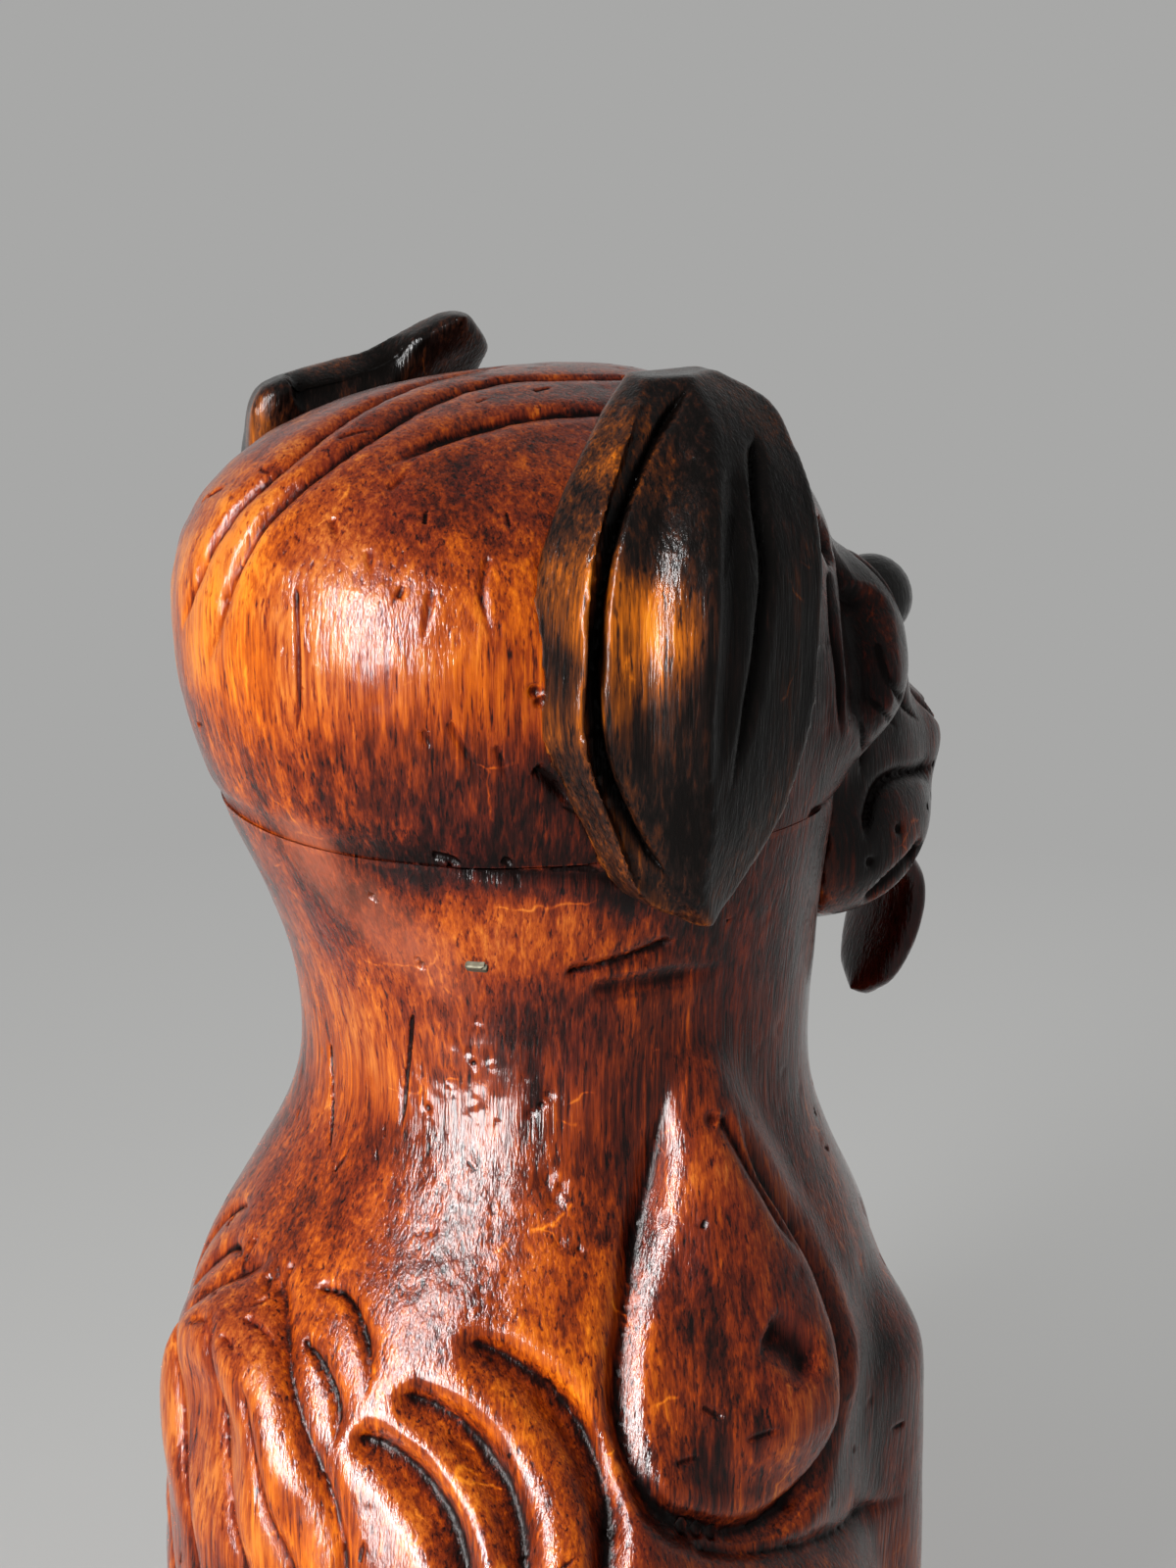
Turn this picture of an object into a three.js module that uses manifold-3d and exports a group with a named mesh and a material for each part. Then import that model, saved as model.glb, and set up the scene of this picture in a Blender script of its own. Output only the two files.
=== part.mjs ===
// A seated pug-like dog carved in stained hardwood: a torso block, a head block dowelled and
// nailed on at the jaw line, two applied ears, two set-in eyes and a tongue let into the mouth.
// Millimetres, +Z up. The dog faces -Y and its left side is +X. The origin is the middle of the base.

import * as THREE from "three";
import { mergeVertices } from "three/addons/utils/BufferGeometryUtils.js";
import Module from "manifold-3d";

// Fits
const glueGap = 0.3; // left between mating faces
const dowelSlack = 0.3; // hole radius less dowel radius
const holeRelief = 0.6; // hole depth past a dowel's end

// Torso block: rise of each ring above the one below it
const bellyRise = 62;
const shoulderRise = 40;
const throatRise = 29;
const napeRise = 21;
const seatRise = 25;

// Torso rings: half width, reach to the front and reach to the back
const baseHalfWidth = 48;
const baseFront = 46;
const baseBack = 56;
const bellyHalfWidth = 52;
const bellyFront = 45;
const bellyBack = 61.5;
const shoulderHalfWidth = 47;
const shoulderFront = 49;
const shoulderBack = 55;
const throatHalfWidth = 38;
const throatFront = 39;
const throatBack = 37.5;
const napeHalfWidth = 38.5;
const napeFront = 39;
const napeBack = 38;
const seatHalfWidth = 43;
const seatFront = 40;
const seatBack = 48.5;
const ringSquareness = 2.15; // 2 is an ellipse
const baseEase = 2.5; // rounding of the bottom edge
const baseEaseHeight = 5;

// Insets are in from the side of the ring named, sets are behind its front.

// Chest
const chestForward = 13;
const chestDrop = 14; // below the shoulder ring
const chestHalfWidth = 36;
const chestDepth = 42;
const chestHalfHeight = 36;

// Upper arms, in relief on the flanks, from the shoulder ring
const armTopRise = 40;
const armTopInset = 13.5;
const armTopRadius = 7;
const elbowDrop = 7;
const elbowInset = 17.5;
const elbowForward = 6;
const elbowRadius = 25;

// Forelegs and front paws, from the shoulder ring down to the base ring
const forelegTopDrop = 18;
const forelegTopInset = 20;
const forelegTopSet = 14;
const forelegTopRadius = 14;
const wristHeight = 17;
const wristInset = 25;
const wristSet = 3;
const wristRadius = 12;
const pawLead = 9; // ahead of the wrist
const pawHeight = 9;
const pawHalfWidth = 14;
const pawHalfLength = 17;
const pawHalfHeight = 10.5;

// Hind legs, from the belly ring down to the base ring
const hipRise = 8;
const hipInset = 22;
const hipBack = 20;
const hipRadius = 27;
const kneeDrop = 16;
const kneeInset = 12;
const kneeForward = 14;
const kneeRadius = 18;
const heelInset = 5;
const toeInset = 3;
const toeForward = 32;
const hindFootHeight = 8.5;
const hindFootRadius = 9.5;

// Tail, curled against the back
const curlDrop = 16; // below the shoulder ring
const curlSink = 8.5; // in from the belly's back
const curlRadius = 14;
const tailRadius = 7;
const tailRootDrop = 18; // below the belly ring

// Head block: rises and drops are from the seat, leads are ahead of the skull's front
const skullRise = 28; // to the widest ring
const skullHalfWidth = 45;
const skullFront = 38.5;
const skullBack = 55.5;
const crownRise = 32.5; // above the widest ring
const crownLengthSquareness = 2.5; // fore and aft
const crownWidthSquareness = 1.9; // side to side
const underSkullSlope = 2; // how fast the skull shrinks below the seat
const jawLineSet = 18; // the seat is flat from this far behind its front
const headMiddleSet = 10.5; // behind the skull's front
const headMiddleRise = 9;
const muzzleDrop = 12;
const muzzleLead = 7.5;
const muzzleHalfWidth = 21;
const muzzleHalfLength = 22;
const muzzleHalfHeight = 10.5;
const snoutDrop = 1;
const snoutLead = 1.5;
const snoutHalfWidth = 21;
const snoutHalfLength = 27;
const snoutHalfHeight = 17;
const jowlOut = 13;
const jowlDrop = 15;
const jowlLead = 2.5;
const jowlHalfWidth = 11;
const jowlHalfLength = 16;
const jowlHalfHeight = 10;
const cheekInset = 21; // in from the skull's side
const cheekRise = 16;
const cheekLead = -13.5;
const cheekHalfWidth = 14;
const cheekHalfLength = 20;
const cheekHalfHeight = 14;
const browOut = 18.5;
const browRise = 24;
const browLead = -2.5;
const browHalfWidth = 11;
const browHalfDepth = 10;
const browHalfHeight = 9;
const noseDrop = 2;
const noseLead = 25.5;
const noseHalfWidth = 10;
const noseHalfDepth = 7;
const noseHalfHeight = 6;
const noseFoldRise = 11;
const noseFoldLead = 12.5;
const noseFoldHalfLength = 12;
const noseFoldRadius = 5;
const chinDrop = 19;
const chinLead = 8.5;
const chinHalfWidth = 12;
const chinHalfDepth = 11;
const chinHalfHeight = 5;
const mouthDrop = 19.5;
const mouthLead = 28.5;
const mouthHalfWidth = 12;
const mouthHalfDepth = 10;
const mouthHalfHeight = 3.5;

// Eyes, from the brow
const eyeOutset = 0.5;
const eyeLift = 1;
const eyeLead = 8.5;
const eyeRadius = 6.5;

// Ears: a leaf with a ridge, a groove and a rim behind it, hung on the skull's widest ring.
// Heights on an ear are out from its middle plane.
const earInset = 1; // its middle plane, in from the skull's side
const earBackset = 8;
const earYaw = 10; // degrees that the rear edge stands out
const earTop = 36.5; // above the ear's middle
const earTip = 37; // below it
const earFront = 20.5;
const earRear = 20.5;
const earRidge = 10.5;
const earLeafEdge = 5;
const earGroove = 2.6;
const earRimLip = 7;
const earRimEdge = -2;
const earFrontEdge = 1.5;
const earBackThick = 4.5;
const earSeatDepth = 9;
const earLean = 15.5; // how far the top leans in over the skull, at the front
const earRearLean = 0.4; // share of that lean at the rear edge
const earLeanStart = 8;
const earEndSlimming = 0.4; // height at the tip and top as a share of the middle's

// Places across an ear, as shares of the way from the rear edge to the ridge
const earLipShare = 0.2;
const earGrooveShare = 0.29;
const earLeafShare = 0.37;
const earBackShare = 0.1;

// Ear outlines from tip to top, in shares of earTip or earTop, earRear and earFront
const earLowerStations = [
  [-1, -0.08, 0.22],
  [-0.86, 0.4, 0.44],
  [-0.6, 0.7, 0.76],
  [-0.25, 1, 0.95],
  [0.1, 1, 1],
];
const earUpperStations = {
  right: [
    [0.36, 0.95, 1],
    [0.57, 0.79, 0.98],
    [0.72, 0.6, 0.93],
    [0.87, 0.36, 0.84],
    [0.98, 0.1, 0.5],
  ],
  left: [
    [0.5, 1.02, 1],
    [0.75, 0.96, 0.97],
    [0.83, 0.2, 0.93],
    [0.93, -0.2, 0.85],
    [1, -0.42, 0.7],
  ],
};

// Carved grooves, V in section. A station of a torso groove is a bearing, in degrees from the spine
// towards the side, and a rise above the shoulder ring. On the crown it is a bearing and a slope above
// level, in degrees, seen from the head's middle.
const grooveLift = 1.2; // how far a cutter's lips stand off the wood
const grooveStepsPerStation = 2;
const grooveEndShare = 0.15; // depth at a groove's ends as a share of its middle's
const armGrooveHalfWidth = 3.4;
const armGrooveDepth = 2.8;
const armGroove = [
  [82, 42], [78, 28], [73, 15], [69, 2], [69, -8], [73, -17], [80, -22], [90, -26],
  [102, -25], [110, -17], [111, -8], [113, 1], [111, 12], [101, 26], [96, 38],
];
const elbowGrooveHalfWidth = 3;
const elbowGrooveDepth = 1.6;
const elbowGroove = [[77, -23], [92, -29], [114, -35], [138, -39]];
const thighGrooveHalfWidth = 3.6;
const thighGrooveDepth = 3;
const thighGrooves = [
  [[41, 8], [50, 4], [57, -1], [63, -9], [65, -16], [64, -26], [62, -38]],
  [[32, 0], [40, -3], [46, -8], [51, -14], [53, -22], [53, -34]],
  [[26, -7], [33, -9], [39, -14], [43, -19], [45, -25], [46, -36]],
];
const tuftGrooveHalfWidth = 1.9;
const tuftGrooveDepth = 1.5;
const tuftTurns = [0, 90, 180, 270]; // the tufts whirl round the tail's curl
const tuftGrooves = [
  [[14, 10], [20, 10], [25, 7], [28, 2], [28, -3]],
  [[15, 4], [20, 1], [24, -4], [24, -11]],
];
const crownGrooveHalfWidth = 2.2;
const crownGrooveDepth = 1.3;
const crownGrooves = [
  [[-12, 59], [-4, 47], [0, 39], [2, 31], [0, 25], [-3, 17], [-7, 11]],
  [[26, 68], [8, 55], [6, 48], [8, 35], [5, 24], [2, 14], [-1, 9]],
  [[36, 55], [23, 48], [17, 40], [14, 32]],
];

// Tongue: leads as on the head, drops from the mouth
const tongueHalfWidth = 8.5;
const tongueHalfThick = 3.2;
const tongueRootLead = 7.5;
const tongueBendLead = 27.5;
const tongueBendDrop = 7.5;
const tongueTipLead = 22;
const tongueTipDrop = 27;
const tongueLevelShare = 0.6; // share of the way to the bend where it is still level
const tongueTaper = 0.8; // share of its length where it begins to round off
const tongueTipBlunt = 0.02;
const tongueTipThinning = 0.3;

// Dowels and nails
const neckDowelRadius = 5;
const neckDowelLength = 36;
const neckDowelSpread = 15; // fore and aft of the axis
const earDowelRadius = 2.5;
const earDowelSink = 14; // below the ear's middle plane
const earDowelReach = 5.5; // above it
const earDowelSpread = 9; // above and below the ear's middle
const nailHeadWidth = 3.1;
const nailHeadHeight = 1.9;
const nailLength = 34;
const nailDrop = 16; // nail head below the seat
const nailTurn = 43; // degrees from the spine
const nailSlope = 52; // degrees above level
const nailProud = 0.25;

// Fineness of the faceted solids
const torsoColumns = 76;
const torsoRows = 42;
const headDetail = 14;
const earStepsPerStation = 3;
const tongueSteps = 18;
const tongueSides = 12;
const roundSides = 12;

// Softness of the hollows where two masses meet
const torsoBlend = 7;
const armBlend = 2.5;
const tailBlend = 4;
const headBlend = 7;

const shoulderHeight = bellyRise + shoulderRise;
const throatHeight = shoulderHeight + throatRise;
const napeHeight = throatHeight + napeRise;
const seatHeight = napeHeight + seatRise;
const sides = { right: -1, left: 1 };
const tiny = 1e-6; // keeps divisions safe
const wasm = await Module();
wasm.setup();

const vec = (x, y, z) => new THREE.Vector3(x, y, z);
const { clamp, degToRad, lerp } = THREE.MathUtils;

// Fields: distance-like, negative inside the wood

function mass(centre, radii) {
  return (p) => {
    const q = p.clone().sub(centre).divide(radii);
    const reach = Math.max(q.length(), tiny);
    return (reach * (reach - 1)) / Math.max(q.divide(radii).length(), tiny);
  };
}

function limb(from, fromRadius, to, toRadius) {
  const axis = to.clone().sub(from);
  return (p) => {
    const along = clamp(p.clone().sub(from).dot(axis) / axis.lengthSq(), 0, 1);
    const nearest = from.clone().addScaledVector(axis, along);
    return p.distanceTo(nearest) - lerp(fromRadius, toRadius, along);
  };
}

// A ring whose hole points along Y.
function curl(centre, ringRadius, tubeRadius) {
  return (p) => {
    const q = p.clone().sub(centre);
    return Math.hypot(Math.hypot(q.x, q.z) - ringRadius, q.y) - tubeRadius;
  };
}

// How far a point lies outside a level ring that is rounder than a box and fuller than an ellipse.
function outsideRing(p, [halfWidth, front, back]) {
  const reach = Math.max(Math.hypot(p.x, p.y), tiny);
  const across = Math.abs(p.x) / reach / Math.max(halfWidth, tiny);
  const along = Math.abs(p.y) / reach / Math.max(p.y < 0 ? front : back, tiny);
  return reach - (across ** ringSquareness + along ** ringSquareness) ** (-1 / ringSquareness);
}

function blended(softness, fields) {
  return (p) =>
    fields.reduce((sum, field) => {
      const next = field(p);
      const overlap = Math.max(softness - Math.abs(sum - next), 0) / softness;
      return Math.min(sum, next) - (overlap * overlap * softness) / 4;
    }, Infinity);
}

// The outermost place on a ray where the wood begins.
function surfaceReach(field, start, direction, farthest) {
  const scanStep = 2;
  const halvings = 16;
  const at = (reach) => field(start.clone().addScaledVector(direction, reach));
  let inside = farthest;
  while (inside > scanStep && at(inside) > 0) inside -= scanStep;
  let outside = inside + scanStep;
  for (let i = 0; i < halvings; i++) {
    const middle = (inside + outside) / 2;
    if (at(middle) > 0) outside = middle;
    else inside = middle;
  }
  return inside;
}

// Solids

function solidOf(geometry) {
  const bare = geometry.clone();
  bare.deleteAttribute("normal");
  bare.deleteAttribute("uv");
  const merged = mergeVertices(bare, 1e-4);
  return new wasm.Manifold(
    new wasm.Mesh({
      numProp: 3,
      vertProperties: new Float32Array(merged.attributes.position.array),
      triVerts: new Uint32Array(merged.index.array),
    }),
  );
}

function geometryOf(solid) {
  const mesh = solid.getMesh();
  const geometry = new THREE.BufferGeometry();
  geometry.setAttribute("position", new THREE.BufferAttribute(mesh.vertProperties, 3));
  geometry.setIndex(new THREE.BufferAttribute(mesh.triVerts, 1));
  geometry.computeVertexNormals();
  return geometry;
}

// Closes stacked rings of points, the first and last of them with a middle point each.
function stackedRings(rows, firstMiddle, lastMiddle) {
  const around = rows[0].length;
  const last = (rows.length - 1) * around;
  const points = [...rows.flat(), firstMiddle, lastMiddle];
  const triangles = [];
  for (let k = 0; k < around; k++) {
    const next = (k + 1) % around;
    triangles.push(points.length - 2, k, next);
    triangles.push(points.length - 1, last + next, last + k);
    for (let here = 0; here < last; here += around) {
      triangles.push(here + k, here + around + k, here + next);
      triangles.push(here + next, here + around + k, here + around + next);
    }
  }
  return new THREE.BufferGeometry().setFromPoints(points).setIndex(triangles);
}

const middleOf = (row) => row.reduce((sum, p) => sum.add(p), vec(0, 0, 0)).divideScalar(row.length);

// A round rod from one point to another.
function rod(from, to, radius) {
  const axis = to.clone().sub(from);
  const geometry = new THREE.CylinderGeometry(radius, radius, axis.length(), roundSides);
  const turn = new THREE.Quaternion().setFromUnitVectors(vec(0, 1, 0), axis.normalize());
  const middle = from.clone().add(to).multiplyScalar(0.5);
  return solidOf(geometry.applyQuaternion(turn).translate(middle.x, middle.y, middle.z));
}

// The way out of the wood at a place on a field's surface.
function outwardFrom(field, p) {
  const probe = 0.5;
  const slope = (way) =>
    field(p.clone().addScaledVector(way, probe)) - field(p.clone().addScaledVector(way, -probe));
  return vec(slope(vec(1, 0, 0)), slope(vec(0, 1, 0)), slope(vec(0, 0, 1))).normalize();
}

// What a V tool takes out along stations, which place() puts on a field's surface.
function grooveCutter(field, place, stations, halfWidth, depth) {
  const count = (stations.length - 1) * grooveStepsPerStation;
  const path = new THREE.CatmullRomCurve3(stations.map(([bearing, rise]) => vec(bearing, rise, 0)));
  const points = path.getPoints(count).map((station) => place(station.x, station.y));
  const line = new THREE.CatmullRomCurve3(points);
  const rows = points.map((point, i) => {
    const outward = outwardFrom(field, point);
    const across = line.getTangent(i / count).cross(outward).normalize();
    const deep = depth * Math.max(Math.sqrt(Math.sin((Math.PI * i) / count)), grooveEndShare);
    const lipHalfWidth = (halfWidth * (deep + grooveLift)) / depth;
    const lip = point.clone().addScaledVector(outward, grooveLift);
    return [
      lip.clone().addScaledVector(across, -lipHalfWidth),
      point.clone().addScaledVector(outward, -deep),
      lip.clone().addScaledVector(across, lipHalfWidth),
    ];
  });
  return solidOf(stackedRings(rows, middleOf(rows[0]), middleOf(rows.at(-1))));
}

// Torso

const seatRing = [seatHalfWidth, seatFront, seatBack];
const ringHeights = [0, bellyRise, shoulderHeight, throatHeight, napeHeight, seatHeight];
const ringSizes = [
  [baseHalfWidth, baseFront, baseBack],
  [bellyHalfWidth, bellyFront, bellyBack],
  [shoulderHalfWidth, shoulderFront, shoulderBack],
  [throatHalfWidth, throatFront, throatBack],
  [napeHalfWidth, napeFront, napeBack],
  seatRing,
];
const rings = new THREE.CubicInterpolant(ringHeights, ringSizes.flat(), seatRing.length);

function trunk(p) {
  return outsideRing(p, rings.evaluate(clamp(p.z, 0, seatHeight)));
}

function upperArm(side) {
  const top = vec(side * (shoulderHalfWidth - armTopInset), 0, shoulderHeight + armTopRise);
  const elbowOut = shoulderHalfWidth - elbowInset;
  const elbow = vec(side * elbowOut, -elbowForward, shoulderHeight - elbowDrop);
  return limb(top, armTopRadius, elbow, elbowRadius);
}

function legs(side) {
  const forelegOut = shoulderHalfWidth - forelegTopInset;
  const forelegForward = shoulderFront - forelegTopSet;
  const foreleg = vec(side * forelegOut, -forelegForward, shoulderHeight - forelegTopDrop);
  const wristOut = baseHalfWidth - wristInset;
  const wrist = vec(side * wristOut, wristSet - baseFront, wristHeight);
  const paw = vec(side * wristOut, wrist.y - pawLead, pawHeight);
  const hip = vec(side * (bellyHalfWidth - hipInset), hipBack, bellyRise + hipRise);
  const knee = vec(side * (bellyHalfWidth - kneeInset), -kneeForward, bellyRise - kneeDrop);
  const heel = vec(side * (baseHalfWidth - heelInset), 0, hindFootHeight);
  const toe = vec(side * (baseHalfWidth - toeInset), -toeForward, hindFootHeight);
  return [
    limb(foreleg, forelegTopRadius, wrist, wristRadius),
    mass(paw, vec(pawHalfWidth, pawHalfLength, pawHalfHeight)),
    limb(hip, hipRadius, knee, kneeRadius),
    limb(heel, hindFootRadius, toe, hindFootRadius),
  ];
}

function torsoField() {
  const chest = mass(
    vec(0, -chestForward, shoulderHeight - chestDrop),
    vec(chestHalfWidth, chestDepth, chestHalfHeight),
  );
  const curlMiddle = vec(0, bellyBack - curlSink, shoulderHeight - curlDrop);
  const tailRoot = vec(0, curlMiddle.y, bellyRise - tailRootDrop);
  const tailTop = vec(0, curlMiddle.y, curlMiddle.z - curlRadius);
  const tailCurl = curl(curlMiddle, curlRadius, tailRadius);
  const tailStem = limb(tailRoot, tailRadius, tailTop, tailRadius);
  const body = blended(torsoBlend, [trunk, chest, ...legs(sides.right), ...legs(sides.left)]);
  const withArms = blended(armBlend, [body, upperArm(sides.right), upperArm(sides.left)]);
  return blended(tailBlend, [withArms, tailCurl, tailStem]);
}

const torsoWood = torsoField();
const torsoFarthest = 2 * Math.max(bellyHalfWidth, bellyBack, baseFront + pawLead + pawHalfLength);

// A turned blank whose walls are cut back to the carved field, grown outwards where asked.
function torsoBlank(grow) {
  const top = seatHeight + grow;
  const blankRadius = bellyHalfWidth;
  const profile = [new THREE.Vector2(0, 0)];
  for (let row = 0; row <= torsoRows; row++) {
    profile.push(new THREE.Vector2(blankRadius, (row / torsoRows) * top));
  }
  profile.push(new THREE.Vector2(0, top));
  const blank = new THREE.LatheGeometry(profile, torsoColumns).rotateX(Math.PI / 2);
  const position = blank.attributes.position;
  for (let i = 0; i < position.count; i++) {
    const point = vec().fromBufferAttribute(position, i);
    const onAxis = Math.hypot(point.x, point.y) < blankRadius / 2;
    if (onAxis) continue;
    const outward = vec(point.x, point.y, 0).normalize();
    const ease = baseEase * Math.max(1 - point.z / baseEaseHeight, 0) ** 2;
    const reach = surfaceReach(torsoWood, vec(0, 0, point.z), outward, torsoFarthest) - ease + grow;
    position.setXY(i, outward.x * reach, outward.y * reach);
  }
  return solidOf(blank);
}

function onTorso(bearing, rise) {
  const turn = degToRad(bearing);
  const away = vec(-Math.sin(turn), Math.cos(turn), 0);
  const onAxis = vec(0, 0, shoulderHeight + rise);
  return onAxis.addScaledVector(away, surfaceReach(torsoWood, onAxis, away, torsoFarthest));
}

function torsoGrooves() {
  const cutters = [];
  const cut = (stations, halfWidth, depth) =>
    cutters.push(grooveCutter(torsoWood, onTorso, stations, halfWidth, depth));
  for (const side of Object.values(sides)) {
    const beside = (stations) => stations.map(([bearing, rise]) => [-side * bearing, rise]);
    cut(beside(armGroove), armGrooveHalfWidth, armGrooveDepth);
    cut(beside(elbowGroove), elbowGrooveHalfWidth, elbowGrooveDepth);
    for (const stations of thighGrooves) cut(beside(stations), thighGrooveHalfWidth, thighGrooveDepth);
  }
  const curlMiddle = new THREE.Vector2(0, -curlDrop);
  for (const turn of tuftTurns) {
    const about = (station) => new THREE.Vector2(...station).rotateAround(curlMiddle, degToRad(turn)).toArray();
    for (const stations of tuftGrooves) cut(stations.map(about), tuftGrooveHalfWidth, tuftGrooveDepth);
  }
  return cutters;
}

// Head

const onHead = (x, forward, rise) => vec(x, -forward, seatHeight + rise);
const onFace = (x, lead, rise) => onHead(x, skullFront + lead, rise);

// The skull swells from the seat to its widest ring, then closes in a squarish crown.
function skull(p) {
  const rise = p.z - seatHeight;
  const widest = [skullHalfWidth, skullFront, skullBack];
  const below = Math.max(-rise, 0);
  if (rise > skullRise) {
    const share = Math.min((rise - skullRise) / crownRise, 1);
    const shrink = (power) => (1 - share ** power) ** (1 / power);
    const long = shrink(crownLengthSquareness);
    const wide = shrink(crownWidthSquareness);
    return outsideRing(p, [skullHalfWidth * wide, skullFront * long, skullBack * long]);
  }
  const swell = 1 - (1 - clamp(rise / skullRise, 0, 1)) ** 2;
  const ring = widest.map((size, i) => lerp(seatRing[i], size, swell));
  return outsideRing(p, ring) + below * underSkullSlope;
}

function faceSide(side) {
  const jowl = onFace(side * jowlOut, jowlLead, -jowlDrop);
  const cheek = onFace(side * (skullHalfWidth - cheekInset), cheekLead, cheekRise);
  const brow = onFace(side * browOut, browLead, browRise);
  return [
    mass(jowl, vec(jowlHalfWidth, jowlHalfLength, jowlHalfHeight)),
    mass(cheek, vec(cheekHalfWidth, cheekHalfLength, cheekHalfHeight)),
    mass(brow, vec(browHalfWidth, browHalfDepth, browHalfHeight)),
  ];
}

function headField() {
  const muzzle = onFace(0, muzzleLead, -muzzleDrop);
  const snout = onFace(0, snoutLead, -snoutDrop);
  const chin = onFace(0, chinLead, -chinDrop);
  const nose = onFace(0, noseLead, -noseDrop);
  const foldRight = onFace(-noseFoldHalfLength, noseFoldLead, noseFoldRise);
  const foldLeft = onFace(noseFoldHalfLength, noseFoldLead, noseFoldRise);
  return blended(headBlend, [
    skull,
    mass(muzzle, vec(muzzleHalfWidth, muzzleHalfLength, muzzleHalfHeight)),
    mass(snout, vec(snoutHalfWidth, snoutHalfLength, snoutHalfHeight)),
    mass(chin, vec(chinHalfWidth, chinHalfDepth, chinHalfHeight)),
    mass(nose, vec(noseHalfWidth, noseHalfDepth, noseHalfHeight)),
    limb(foldRight, noseFoldRadius, foldLeft, noseFoldRadius),
    ...faceSide(sides.right),
    ...faceSide(sides.left),
  ]);
}

const headWood = headField();
const headMiddle = onFace(0, -headMiddleSet, headMiddleRise);
const headFarthest = 2 * Math.max(skullBack, skullHalfWidth, skullFront + noseLead + noseHalfDepth);

// A ball whose surface is cut back to the carved field along the rays from its middle.
function headBlank(grow) {
  const blank = new THREE.IcosahedronGeometry(1, headDetail);
  const position = blank.attributes.position;
  for (let i = 0; i < position.count; i++) {
    const ray = vec().fromBufferAttribute(position, i).normalize();
    const reach = surfaceReach(headWood, headMiddle, ray, headFarthest) + grow;
    const point = headMiddle.clone().addScaledVector(ray, reach);
    position.setXYZ(i, point.x, point.y, point.z);
  }
  return solidOf(blank);
}

function onCrown(bearing, slope) {
  const ray = vec(0, 1, 0).applyAxisAngle(vec(1, 0, 0), degToRad(slope));
  ray.applyAxisAngle(vec(0, 0, 1), degToRad(bearing));
  return headMiddle.clone().addScaledVector(ray, surfaceReach(headWood, headMiddle, ray, headFarthest));
}

// Everything of the head below the seat and behind the jaw line.
function underSeat() {
  const width = 4 * Math.max(skullHalfWidth, seatHalfWidth);
  const length = 4 * Math.max(skullBack, seatBack);
  const box = new THREE.BoxGeometry(width, length, seatHeight);
  return solidOf(box.translate(0, length / 2 + jawLineSet - seatFront, seatHeight / 2 + glueGap));
}

function eyeball(side, grow) {
  const centre = onFace(side * (browOut + eyeOutset), browLead + eyeLead, browRise + eyeLift);
  const ball = new THREE.SphereGeometry(eyeRadius + grow, 2 * roundSides, roundSides);
  return solidOf(ball.rotateX(Math.PI / 2).translate(centre.x, centre.y, centre.z));
}

function mouthCavity() {
  const cavity = new THREE.SphereGeometry(1, 2 * roundSides, roundSides);
  cavity.scale(mouthHalfWidth, mouthHalfDepth, mouthHalfHeight);
  const centre = onFace(0, mouthLead, -mouthDrop);
  return solidOf(cavity.translate(centre.x, centre.y, centre.z));
}

// Tongue: flattened rings along a line that leaves the mouth and hangs

function tongueSolid(grow) {
  const levelLead = lerp(tongueRootLead, tongueBendLead, tongueLevelShare);
  const line = new THREE.CatmullRomCurve3([
    onFace(0, tongueRootLead, -mouthDrop),
    onFace(0, levelLead, -mouthDrop),
    onFace(0, tongueBendLead, -mouthDrop - tongueBendDrop),
    onFace(0, tongueTipLead, -mouthDrop - tongueTipDrop),
  ]);
  const across = vec(1, 0, 0);
  const rows = [];
  for (let step = 0; step <= tongueSteps; step++) {
    const along = step / tongueSteps;
    const through = across.clone().cross(line.getTangent(along)).normalize();
    const toTip = Math.max(along - tongueTaper, 0) / (1 - tongueTaper);
    const roundTip = Math.sqrt(1 + tongueTipBlunt - toTip ** 2);
    const halfWidth = tongueHalfWidth * roundTip + grow;
    const halfThick = tongueHalfThick * lerp(1, roundTip, tongueTipThinning) + grow;
    const row = [];
    for (let k = 0; k < tongueSides; k++) {
      const angle = (2 * Math.PI * k) / tongueSides;
      const point = line.getPoint(along).addScaledVector(across, halfWidth * Math.cos(angle));
      row.push(point.addScaledVector(through, halfThick * Math.sin(angle)));
    }
    rows.push(row);
  }
  const ends = [line.getPoint(0), line.getPoint(1)];
  ends[0].addScaledVector(line.getTangent(0), -grow);
  ends[1].addScaledVector(line.getTangent(1), grow);
  return solidOf(stackedRings(rows, ...ends));
}

// Ears: u runs forwards and v upwards over the ear, and the third axis points out of the head

function earFrame(side) {
  const yaw = degToRad(earYaw);
  const out = vec(side * Math.cos(yaw), Math.sin(yaw), 0);
  const forward = vec(side * Math.sin(yaw), -Math.cos(yaw), 0);
  const middle = onHead(side * (skullHalfWidth - earInset), -earBackset, skullRise);
  return (u, v, height) => {
    const upTheLean = Math.max((v - earLeanStart) / (earTop - earLeanStart), 0);
    const towardsFront = clamp((u + earRear) / (earRear + earFront), 0, 1);
    const lean = earLean * upTheLean ** 2 * lerp(earRearLean, 1, towardsFront);
    const point = middle.clone().addScaledVector(forward, u).addScaledVector(out, height - lean);
    return point.setZ(point.z + v);
  };
}

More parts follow.
